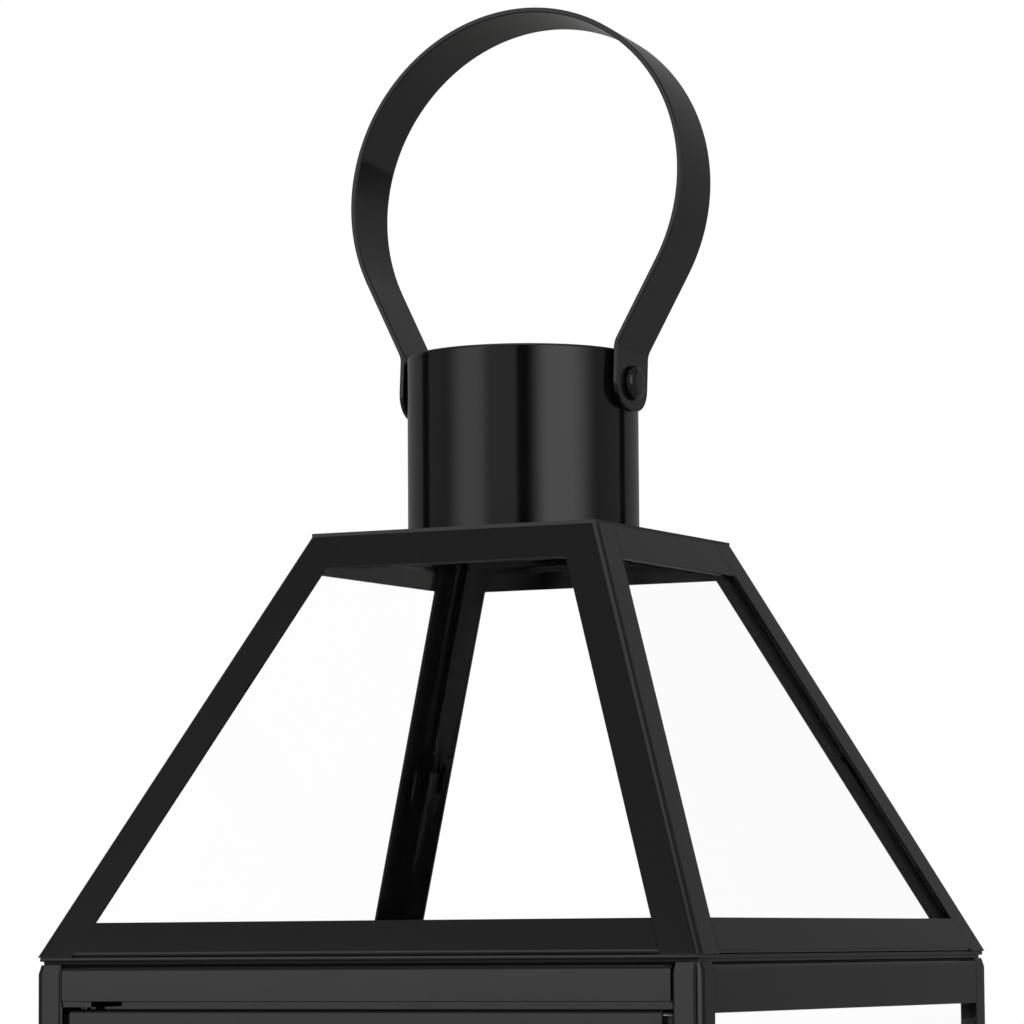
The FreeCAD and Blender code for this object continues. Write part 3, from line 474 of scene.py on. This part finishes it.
class LANTERN_OT_rails(bpy.types.Operator):
    """Fold the top and bottom rails between the posts"""

    bl_idname = "lantern.rails"
    bl_label = "Body rails"

    def execute(self, context):
        metal = sheet_of(context)
        low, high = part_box("front_top_rail")
        # The rails run right up to the posts
        low.x, high.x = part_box("front_left_post")[1].x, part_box("front_right_post")[0].x
        overlap = 1.5 * MM
        along = (high.x - low.x, 0, 0)
        for index, face in enumerate(FACES):
            foot, top = (corner.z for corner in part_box(face + "_top_rail"))
            corners = [(low.x, low.y, foot), (low.x, low.y, top), (low.x, high.y, top)]
            folds = [metal.post_fold]
            if face == "front":
                # The front rail has a third leg that the door's top edge closes against
                inner = low.y + metal.stop
                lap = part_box("door_top_rail")[1].z - overlap
                corners = corners[:2] + [(low.x, inner, top), (low.x, inner, lap)]
                folds.append(metal.sill_fold)
            upper = drawn_out(corners, folds, along, (0, -1, 1))
            foot, top = (corner.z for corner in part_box(face + "_bottom_rail"))
            corners = [(low.x, low.y, top), (low.x, low.y, foot), (low.x, high.y, foot)]
            lower = drawn_out(corners, [metal.sill_fold], along, (0, -1, -1))
            for bm, node in ((upper, face + "_top_rail"), (lower, face + "_bottom_rail")):
                thicken(bm, metal.thick)
                break_edges(bm, metal.edge_break)
                coated(quarter_turned(bm, index), node)
        return {"FINISHED"}


class LANTERN_OT_base(bpy.types.Operator):
    """Press the candle plate, cut the floor and frame the bars under the roof"""

    bl_idname = "lantern.base"
    bl_label = "Floor and candle plate"

    def execute(self, context):
        metal = sheet_of(context)
        low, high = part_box("candle_plate")
        wall, flare = 0.8 * MM, 3 * MM
        foot_round, rim_round, inside_round = 1.2 * MM, 0.3 * MM, 0.6 * MM
        flat, rim = high.x - flare, high.x
        outer = [(0, low.z), (flat, low.z), (rim, high.z)]
        inner = [(rim - wall, high.z), (flat - wall, low.z + wall), (0, low.z + wall)]
        bm = turned(outer + inner, [foot_round, rim_round, rim_round, inside_round])
        coated(bm, "candle_plate")
        bm = bmesh.new()
        block(bm, *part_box("floor_plate"))
        break_edges(bm, metal.edge_break)
        coated(bm, "floor_plate")
        self.seat_bars(metal)
        return {"FINISHED"}

    def seat_bars(self, metal):
        """A mitred frame that the roof stands on, rebated for the dark line between roof and body."""
        width, overhang = 10 * MM, 0.7 * MM
        rebate_depth, rebate_height = 0.8 * MM, 0.9 * MM
        low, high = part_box("roof_seat_bars")
        inner, outer = high.x - width, high.x + overhang
        rebate, step = outer - rebate_depth, low.z + rebate_height
        section = [(inner, low.z), (rebate, low.z), (rebate, step), (outer, step), (outer, high.z),
                   (inner, high.z), (inner, low.z)]
        # Four turns on the diagonal make a square with mitred corners
        to_corner = math.sqrt(2)
        bars = turned([(reach * to_corner, level) for reach, level in section], [], steps=4)
        put(bars, Matrix.Rotation(QUARTER / 2, 4, "Z"))
        break_edges(bars, metal.edge_break)
        coated(bars, "roof_seat_bars")


class LANTERN_OT_glass(bpy.types.Operator):
    """Glaze the body, the door and the roof, and coat or bend the clips that hold the panes"""

    bl_idname = "lantern.glass"
    bl_label = "Glass and clips"

    def execute(self, context):
        panes = [node for node in frame["nodes"] if node.endswith("_pane")]
        # The panes let the light through without a shadow
        for node in panes:
            dress(node, clear_float_glass()).visible_shadow = False
        for node in ("body_pane_clips", "door_pane_clips"):
            dress(node, black_powder_coat())
        self.roof_clips(sheet_of(context))
        return {"FINISHED"}

    def roof_clips(self, metal):
        """Bent tabs behind the hip bars that reach over the edges of the roof panes."""
        thin, tail, lip, long = 0.8 * MM, 2 * MM, 1.5 * MM, 10 * MM
        gap, glass = 0.3 * MM, 2 * MM
        pane_edge, rise = 6.56 * MM, 66 * MM
        far = 2 * gap + glass + thin
        line = [(gap + tail, thin), (gap + thin, thin), (gap + thin, far), (-lip, far)]
        ridge = HIP_RUN.normalized()
        foot = HIP_FOOT + ridge * (rise - long / 2)
        sides = ((OFF_SLOPE, ridge.cross(OFF_SLOPE)), (SIDE_OFF_SLOPE, SIDE_OFF_SLOPE.cross(ridge)))
        clips = bmesh.new()
        for quarters in range(4):
            for normal, to_ridge in sides:
                edge = foot - to_ridge * pane_edge - normal * metal.thick
                points = [edge + to_ridge * across - normal * inward for across, inward in line]
                clip = drawn_out(points, [], ridge * long, -normal)
                thicken(clip, thin)
                break_edges(clip, metal.edge_break)
                join(clips, quarter_turned(clip, quarters))
        coated(clips, "roof_pane_clips")


# Roof
class LANTERN_OT_hips(bpy.types.Operator):
    """Fold the four hip bars of the roof"""

    bl_idname = "lantern.hips"
    bl_label = "Hip bars"

    def execute(self, context):
        metal = sheet_of(context)
        to_front = OFF_SLOPE.cross(HIP_RUN).normalized() * metal.hip_leg
        to_side = HIP_RUN.cross(SIDE_OFF_SLOPE).normalized() * metal.hip_leg
        # The bars are made too long at both ends and cut level
        start, along = HIP_FOOT - HIP_RUN / 2, HIP_RUN * 2
        for index, corner in enumerate(CORNERS):
            bm = drawn_out([start + to_front, start, start + to_side], [metal.hip_fold], along,
                           OFF_SLOPE + SIDE_OFF_SLOPE)
            thicken(bm, metal.thick)
            trim(bm, (0, 0, EAVE), (0, 0, -1))
            trim(bm, (0, 0, ROOF_TOP - metal.thick), (0, 0, 1))
            break_edges(bm, metal.edge_break)
            coated(quarter_turned(bm, index), corner + "_hip")
        return {"FINISHED"}


def hip_cover(metal):
    """How much of the eave's length one hip bar covers."""
    return metal.hip_leg * math.sqrt(2 * RUN ** 2 + RISE ** 2) / SLOPE


def trim_to_hips(bm, metal):
    """Mitre a front roof rail to the edges of the hip bars beside it."""
    for side in (1, -1):
        point = Vector((side * (BODY_HALF - hip_cover(metal)), -BODY_HALF, EAVE))
        along_hip = Vector((-side * RUN / SLOPE, 0, 0)) + UP_SLOPE
        trim(bm, point, along_hip.cross(OFF_SLOPE) * side)


class LANTERN_OT_roof_rails(bpy.types.Operator):
    """Fold the eave rails and cut the crown rails, mitred to the hip bars"""

    bl_idname = "lantern.roof_rails"
    bl_label = "Roof rails"

    def execute(self, context):
        metal = sheet_of(context)
        along = Vector((2 * BODY_HALF, 0, 0))
        eave = Vector((-BODY_HALF, -BODY_HALF, EAVE))
        low = eave + UP_SLOPE * (SLOPE - metal.crown_width)
        for index, face in enumerate(FACES):
            corners = [eave + Vector((0, metal.eave_foot, 0)), eave, eave + UP_SLOPE * metal.eave_width]
            lower = drawn_out(corners, [metal.eave_fold], along, (0, -1, -1))
            upper = drawn_out([low, eave + UP_SLOPE * (SLOPE + metal.crown_width)], [], along, OFF_SLOPE)
            for bm, node in ((lower, face + "_eave_rail"), (upper, face + "_crown_rail")):
                trim_to_hips(bm, metal)
                thicken(bm, metal.thick)
                trim(bm, (0, 0, ROOF_TOP - metal.thick), (0, 0, 1))
                break_edges(bm, metal.edge_break)
                coated(quarter_turned(bm, index), node)
        return {"FINISHED"}


class LANTERN_OT_chimney(bpy.types.Operator):
    """Roll the chimney with its hemmed rim and coat the crown plate"""

    bl_idname = "lantern.chimney"
    bl_label = "Chimney"

    def execute(self, context):
        metal = sheet_of(context)
        low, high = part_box("chimney")
        hem_height = 5 * MM
        rim_round, hem_round, flue_round = 0.9 * MM, 0.4 * MM, 0.2 * MM
        outer, flue = high.x, high.x - metal.thick
        hem, hem_end = flue - metal.thick, high.z - hem_height
        wall = [(outer, low.z), (outer, high.z), (hem, high.z), (hem, hem_end), (flue, hem_end),
                (flue, low.z)]
        bm = turned(wall + wall[:1], [rim_round, rim_round, hem_round, flue_round, 0])
        break_edges(bm, metal.edge_break)
        coated(bm, "chimney")
        dress("crown_plate", black_powder_coat())
        return {"FINISHED"}


# Handle
class LANTERN_OT_handle(bpy.types.Operator):
    """Bend the strap handle: straight past the chimney, out, round the ring and down again"""

    bl_idname = "lantern.handle"
    bl_label = "Handle strap"

    def execute(self, context):
        strap = context.scene.lantern_handle
        pivot = Vector(JOINTS["handle_swing"]["pos_m"])
        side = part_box("chimney")[1].x + strap.gap + strap.thick
        bend, ring = strap.bend - strap.thick / 2, strap.ring + strap.thick / 2
        out, up = math.sin(strap.flare), math.cos(strap.flare)
        knee = Vector((side + bend, 0, strap.straight))
        leg_foot = knee + Vector((-bend * up, 0, bend * out))
        leg = (ring * up - leg_foot.x) / out
        middle = Vector((0, 0, leg_foot.z + leg * up + ring * out))
        bm = bmesh.new()
        ends = [bm.verts.new((side, way * strap.width / 2, -strap.foot)) for way in (-1, 1)]
        tip = ends + [bm.edges.new(ends)]
        tip = self.run_on(bm, tip, (0, 0, strap.foot + strap.straight))
        tip = self.bend_on(bm, tip, knee, strap.flare, FOLD_STEPS)
        tip = self.run_on(bm, tip, (out * leg, 0, up * leg))
        tip = self.bend_on(bm, tip, middle, -math.pi - 2 * strap.flare, TURN_STEPS)
        tip = self.run_on(bm, tip, (out * leg, 0, -up * leg))
        tip = self.bend_on(bm, tip, Vector((-knee.x, 0, knee.z)), strap.flare, FOLD_STEPS)
        tip = self.run_on(bm, tip, (0, 0, -strap.foot - strap.straight))
        ends += only(bmesh.types.BMVert, tip)
        bmesh.ops.bevel(bm, geom=ends, offset=strap.end_round, offset_type="OFFSET", segments=FOLD_STEPS,
                        profile=0.5, affect="VERTICES", material=-1)
        facing(bm, (0, 0, 1))
        thicken(bm, strap.thick)
        break_edges(bm, strap.edge_break, steps=3)
        lean = Matrix.Translation(pivot) @ Matrix.Rotation(-strap.lean, 4, "X")
        coated(put(bm, lean), "handle_strap")
        return {"FINISHED"}

    def run_on(self, bm, tip, along):
        """Carry the strap's end straight on."""
        made = bmesh.ops.extrude_edge_only(bm, edges=only(bmesh.types.BMEdge, tip))["geom"]
        verts = only(bmesh.types.BMVert, made)
        bmesh.ops.translate(bm, vec=along, verts=verts)
        return verts + [edge for edge in only(bmesh.types.BMEdge, made) if set(edge.verts) <= set(verts)]

    def bend_on(self, bm, tip, centre, angle, steps):
        """Carry the strap's end round a bend."""
        return bmesh.ops.spin(bm, geom=tip, cent=centre, axis=(0, 1, 0), dvec=(0, 0, 0), angle=angle,
                              steps=steps)["geom_last"]


class LANTERN_OT_rivets(bpy.types.Operator):
    """Set the domed rivets that the handle swings on"""

    bl_idname = "lantern.rivets"
    bl_label = "Handle rivets"

    def execute(self, context):
        pivot = Vector(JOINTS["handle_swing"]["pos_m"])
        shank, head, tail = 2.5 * MM, 5 * MM, 4 * MM
        dome, set_end = 2 * MM, 1.5 * MM
        low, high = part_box("right_handle_rivet")
        top, seat = high.x, high.x - dome
        inner = low.x + set_end
        profile = [(0, low.x), (tail, low.x), (tail, inner), (shank, inner), (shank, seat), (head, seat),
                   (head, top), (0, top)]
        tail_round, set_round, brim_round, dome_round = 0.6 * MM, 0.3 * MM, 0.2 * MM, 1.9 * MM
        rounds = [tail_round, set_round, 0, 0, brim_round, dome_round]
        for node, way in (("right_handle_rivet", 1), ("left_handle_rivet", -1)):
            place = Matrix.Translation(pivot) @ Matrix.Rotation(way * QUARTER, 4, "Y")
            coated(put(turned(profile, rounds), place), node)
        return {"FINISHED"}


# Door
class LANTERN_OT_door(bpy.types.Operator):
    """Fold the door's frame and coat its pivots and the lugs they turn in"""

    bl_idname = "lantern.door"
    bl_label = "Door frame"

    def execute(self, context):
        metal = sheet_of(context)
        for node, way in (("door_hinge_stile", -1), ("door_latch_stile", 1)):
            low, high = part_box(node)
            outer, inner = (high.x, low.x) if way > 0 else (low.x, high.x)
            corners = [(inner, low.y, low.z), (outer, low.y, low.z), (outer, high.y, low.z)]
            self.fold(metal, node, corners, (0, 0, high.z - low.z), (way, -1, 0))
        for node, way in (("door_top_rail", 1), ("door_bottom_rail", -1)):
            low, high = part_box(node)
            outer, inner = (high.z, low.z) if way > 0 else (low.z, high.z)
            corners = [(low.x, low.y, inner), (low.x, low.y, outer), (low.x, high.y, outer)]
            # The ends are closed by tabs that stop short of the folds
            foot, top = sorted((inner, outer - way * metal.door_fold))
            tabs = [((edge, low.y + metal.door_fold, foot), (edge + metal.thick, high.y, top))
                    for edge in (low.x, high.x - metal.thick)]
            self.fold(metal, node, corners, (high.x - low.x, 0, 0), (0, -1, way), tabs)
        for node in ("upper_pivot_pin", "lower_pivot_pin", "upper_hinge_lug", "lower_hinge_lug"):
            dress(node, black_powder_coat())
        return {"FINISHED"}

    def fold(self, metal, node, corners, along, outside, tabs=()):
        """One folded bar of the frame, with any tabs."""
        bm = drawn_out(corners, [metal.door_fold], along, outside)
        thicken(bm, metal.thick)
        for low, high in tabs:
            block(bm, low, high)
        break_edges(bm, metal.edge_break)
        coated(bm, node)


class LANTERN_OT_knob(bpy.types.Operator):
    """Turn the door's knob"""

    bl_idname = "lantern.knob"
    bl_label = "Door knob"

    def execute(self, context):
        low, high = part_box("door_knob")
        reach, wide = high.y - low.y, (high.x - low.x) / 2
        neck, shoulder = 2.5 * MM, 3 * MM
        neck_round, front_round = 0.8 * MM, 2 * MM
        profile = [(0, 0), (neck, 0), (neck, shoulder), (wide, shoulder), (wide, reach), (0, reach)]
        bm = turned(profile, [0, neck_round, neck_round, front_round])
        middle = (low + high) / 2
        place = Matrix.Translation((middle.x, high.y, middle.z)) @ Matrix.Rotation(QUARTER, 4, "X")
        coated(put(bm, place), "door_knob")
        return {"FINISHED"}


class LANTERN_OT_catch(bpy.types.Operator):
    """Cut the swinging catch with its thumb button and set its rivet"""

    bl_idname = "lantern.catch"
    bl_label = "Door catch"

    def execute(self, context):
        metal = sheet_of(context)
        pivot = Vector(JOINTS["latch_turn"]["pos_m"])
        place = Matrix.Translation(pivot) @ Matrix.Rotation(QUARTER, 4, "X")
        low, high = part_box("latch_lever")
        wide = (high.x - low.x) / 2
        reach = pivot.z - low.z - wide
        gap, height = pivot.y - high.y, pivot.y - low.y
        thick, button, button_round = 1.2 * MM, 2.5 * MM, 0.8 * MM
        middle = Matrix.Translation((0, -reach / 2, gap + thick))
        plate = middle @ Matrix.Diagonal((wide, reach / 2 + wide, 1, 1))
        bm = bmesh.new()
        bmesh.ops.create_grid(bm, x_segments=1, y_segments=1, size=1, matrix=plate)
        # The ends are rounded all but fully, and the hair of straight edge that is left is welded
        nearly_full, hair = wide * 0.999, 0.02 * MM
        bmesh.ops.bevel(bm, geom=bm.verts[:], offset=nearly_full, offset_type="OFFSET",
                        segments=2 * FOLD_STEPS, profile=0.5, affect="VERTICES", material=-1)
        bmesh.ops.remove_doubles(bm, verts=bm.verts[:], dist=hair)
        facing(bm, (0, 0, 1))
        thicken(bm, thick)
        break_edges(bm, metal.edge_break)
        root = gap + thick / 2
        knob = turned([(0, root), (button, root), (button, height), (0, height)], [0, button_round])
        put(knob, Matrix.Translation((0, -reach, 0)))
        join(bm, knob)
        coated(put(bm, place), "latch_lever")
        self.rivet(pivot, place)
        return {"FINISHED"}

    def rivet(self, pivot, place):
        """The domed rivet that the catch turns on."""
        low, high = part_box("latch_rivet")
        dome, shank = 1.2 * MM, 1.5 * MM
        end_round, brim_round, dome_round = 0.3 * MM, 0.2 * MM, 1.1 * MM
        head, top, inner = (high.x - low.x) / 2, pivot.y - low.y, pivot.y - high.y
        seat = top - dome
        profile = [(0, inner), (shank, inner), (shank, seat), (head, seat), (head, top), (0, top)]
        rivet = turned(profile, [end_round, 0, brim_round, dome_round])
        coated(put(rivet, place), "latch_rivet")


# Stage
# The studio that the coating mirrors, by degrees to the right of the camera and brightness: a dark camera
# between two soft boxes, black cards that draw the dark lines at the sides, and a dim room behind
SURROUND = (
    ("room behind, left", -180, -122, 0.22),
    ("left black card", -117, -110, 0.0),
    ("left wall", -105, -84, 0.22),
    ("left soft box", -58, -46, 1.1),
    ("wall beside the camera", -32, -9, 0.45),
    ("camera", -3.5, 3, 0.0),
    ("right soft box", 26, 46, 1.6),
    ("right wall", 80, 110, 0.22),
    ("right black card", 113, 119.5, 0.0),
    ("room behind, right", 124, 180, 0.205),
)
BRIGHTEST = max(level for name, start, end, level in SURROUND)
CEILING = 0.22
TOP_BOX = 0.9
# Where the walls pass into the ceiling and the ceiling into its soft box, as sines of the angle above level
WALL_END, CEILING_START = 0.45, 0.75
CEILING_END, TOP_BOX_START = 0.86, 0.92
# Lamps by name, degrees to the right of the camera, width in metres and level
LAMPS = (("left_box", -50, 1.8, 1.0), ("right_box", 38, 1.3, 1.35))
LAMP_AWAY, LAMP_HEIGHT, LAMP_TALL = 2.2, 1.3, 1.6
LAMP_AIM = Vector((0, 0, 0.3))
FLOOR_RADIUS, FLOOR_DROP = 6, 0.1 * MM


def grey(level):
    """A grey of the studio as a share of its brightest box."""
    return (level / BRIGHTEST,) * 3 + (1,)


class LANTERN_OT_stage(bpy.types.Operator):
    """Lay the floor, light the studio and set up the camera"""

    bl_idname = "lantern.stage"
    bl_label = "Studio"

    def execute(self, context):
        studio = context.scene.lantern_studio
        self.floor()
        self.world(context.scene, studio)
        self.lamps(studio)
        self.camera(context.scene, studio)
        context.scene.view_settings.view_transform = "Standard"
        return {"FINISHED"}

    def floor(self):
        """A round sheet of paper, a hair below the lantern."""
        bm = bmesh.new()
        bmesh.ops.create_circle(bm, cap_ends=True, segments=128, radius=FLOOR_RADIUS,
                                matrix=Matrix.Translation((0, 0, -FLOOR_DROP)))
        mesh = bpy.data.meshes.new("paper_floor")
        bm.to_mesh(mesh)
        bm.free()
        mesh.materials.append(white_paper())
        paper = bpy.data.objects.new("paper_floor", mesh)
        bpy.context.scene.collection.objects.link(paper)

    def world(self, scene, studio):
        """White behind the lantern, an even fill on it, and the studio's light and dark in its gloss."""
        scene.world = bpy.data.worlds.new("studio")
        scene.world.use_nodes = True
        tree = scene.world.node_tree
        tree.nodes.clear()
        place = add(tree, "ShaderNodeTexCoord")
        to_camera = add(tree, "ShaderNodeMapping",
                        values={"Rotation": (0, 0, QUARTER - studio.side)},
                        links={"Vector": (place, "Generated")})
        round_about = add(tree, "ShaderNodeTexGradient", {"gradient_type": "RADIAL"},
                          links={"Vector": (to_camera, "Vector")})
        boxes = add(tree, "ShaderNodeValToRGB", links={"Fac": (round_about, "Fac")})
        boxes.color_ramp.interpolation = "EASE"
        # A ramp is never empty, so one of its own two stops goes first and the other last
        stops = boxes.color_ramp.elements
        stops.remove(stops[1])
        for name, start, end, level in SURROUND:
            for degrees in (start, end):
                stop = stops.new(degrees / 360 + 0.5)
                stop.color = grey(level)
        stops.remove(stops[0])
        height = add(tree, "ShaderNodeSeparateXYZ", links={"Vector": (place, "Generated")})
        overhead = add(tree, "ShaderNodeMapRange", {"interpolation_type": "SMOOTHSTEP"},
                       {"From Min": WALL_END, "From Max": CEILING_START}, {"Value": (height, "Z")})
        room = add(tree, "ShaderNodeMix", {"data_type": "RGBA"}, {"B": grey(CEILING)},
                   {"Factor": (overhead, "Result"), "A": (boxes, "Color")})
        # A soft box right overhead draws the light line on the near hip's fold
        in_box = add(tree, "ShaderNodeMapRange", {"interpolation_type": "SMOOTHSTEP"},
                     {"From Min": CEILING_END, "From Max": TOP_BOX_START}, {"Value": (height, "Z")})
        lit = add(tree, "ShaderNodeMix", {"data_type": "RGBA"}, {"B": grey(TOP_BOX)},
                  {"Factor": (in_box, "Result"), "A": (room, "Result")})
        gloss = add(tree, "ShaderNodeBackground", values={"Strength": BRIGHTEST},
                    links={"Color": (lit, "Result")})
        even = add(tree, "ShaderNodeBackground", values={"Color": WHITE, "Strength": studio.fill})
        white = add(tree, "ShaderNodeBackground", values={"Color": WHITE, "Strength": 1.0})
        # White is for rays straight from the camera or through glass only, the studio for mirrored rays
        path = add(tree, "ShaderNodeLightPath")
        mirrored = add(tree, "ShaderNodeMath", {"operation": "GREATER_THAN"}, {1: ANY_BOUNCE},
                       {0: (path, "Glossy Depth")})
        scattered = add(tree, "ShaderNodeMath", {"operation": "GREATER_THAN"}, {1: ANY_BOUNCE},
                        {0: (path, "Diffuse Depth")})
        seen_in_gloss = add(tree, "ShaderNodeMixShader",
                            links={0: (mirrored, "Value"), 1: (white, "Background"),
                                   2: (gloss, "Background")})
        whole = add(tree, "ShaderNodeMixShader",
                    links={0: (scattered, "Value"), 1: (seen_in_gloss, "Shader"), 2: (even, "Background")})
        add(tree, "ShaderNodeOutputWorld", links={"Surface": (whole, "Shader")})

    def lamps(self, studio):
        """Two soft boxes beside the camera, whose reflections the world draws."""
        for name, degrees, width, level in LAMPS:
            lamp = bpy.data.lights.new(name, "AREA")
            lamp.shape = "RECTANGLE"
            lamp.size, lamp.size_y = width, LAMP_TALL
            lamp.energy = level * math.pi * lamp.size * lamp.size_y
            box = bpy.data.objects.new(name, lamp)
            way = studio.side + math.radians(degrees)
            box.location = (LAMP_AWAY * math.sin(way), -LAMP_AWAY * math.cos(way), LAMP_HEIGHT)
            box.rotation_euler = (LAMP_AIM - box.location).to_track_quat("-Z", "Y").to_euler()
            box.visible_camera = False
            box.visible_glossy = False
            box.visible_transmission = False
            bpy.context.scene.collection.objects.link(box)

    def camera(self, scene, studio):
        """The camera of the photograph, as worked out from the lantern's corners."""
        lens = bpy.data.cameras.new("camera")
        lens.lens = studio.lens
        lens.clip_start, lens.clip_end = 0.05, 50
        eye = bpy.data.objects.new("camera", lens)
        scene.collection.objects.link(eye)
        out, side = -studio.away * math.cos(studio.side), studio.away * math.sin(studio.side)
        spot = Matrix.Translation((side, out, studio.height))
        turn = Matrix.Rotation(studio.side + studio.turn, 4, "Z")
        tilt = Matrix.Rotation(QUARTER + studio.pitch, 4, "X")
        roll = Matrix.Rotation(-studio.roll, 4, "Z")
        eye.matrix_world = spot @ turn @ tilt @ roll
        scene.camera = eye


PIECES = (LANTERN_OT_posts, LANTERN_OT_rails, LANTERN_OT_base, LANTERN_OT_glass, LANTERN_OT_hips,
          LANTERN_OT_roof_rails, LANTERN_OT_chimney, LANTERN_OT_handle, LANTERN_OT_rivets, LANTERN_OT_door,
          LANTERN_OT_knob, LANTERN_OT_catch, LANTERN_OT_stage)
GROUPS = {"lantern_sheet": LanternSheet, "lantern_handle": LanternHandle, "lantern_finish": LanternFinish,
          "lantern_studio": LanternStudio}


class LANTERN_PT_builder(bpy.types.Panel):
    """The lantern's pieces and sizes in the 3D view's sidebar"""

    bl_idname = "LANTERN_PT_builder"
    bl_label = "Candle Lantern"
    bl_space_type = "VIEW_3D"
    bl_region_type = "UI"
    bl_category = "Lantern"

    def draw(self, context):
        for piece in PIECES:
            self.layout.operator(piece.bl_idname)
        for name, group in GROUPS.items():
            box = self.layout.box()
            for field in group.__annotations__:
                box.prop(getattr(context.scene, name), field)


def register():
    for name, group in GROUPS.items():
        bpy.utils.register_class(group)
        setattr(bpy.types.Scene, name, bpy.props.PointerProperty(type=group))
    for piece in PIECES:
        bpy.utils.register_class(piece)
    bpy.utils.register_class(LANTERN_PT_builder)


def unregister():
    bpy.utils.unregister_class(LANTERN_PT_builder)
    for piece in reversed(PIECES):
        bpy.utils.unregister_class(piece)
    for name, group in GROUPS.items():
        delattr(bpy.types.Scene, name)
        bpy.utils.unregister_class(group)


def main():
    register()
    for piece in PIECES:
        family, name = piece.bl_idname.split(".")
        getattr(getattr(bpy.ops, family), name)()


if __name__ == "__main__":
    main()
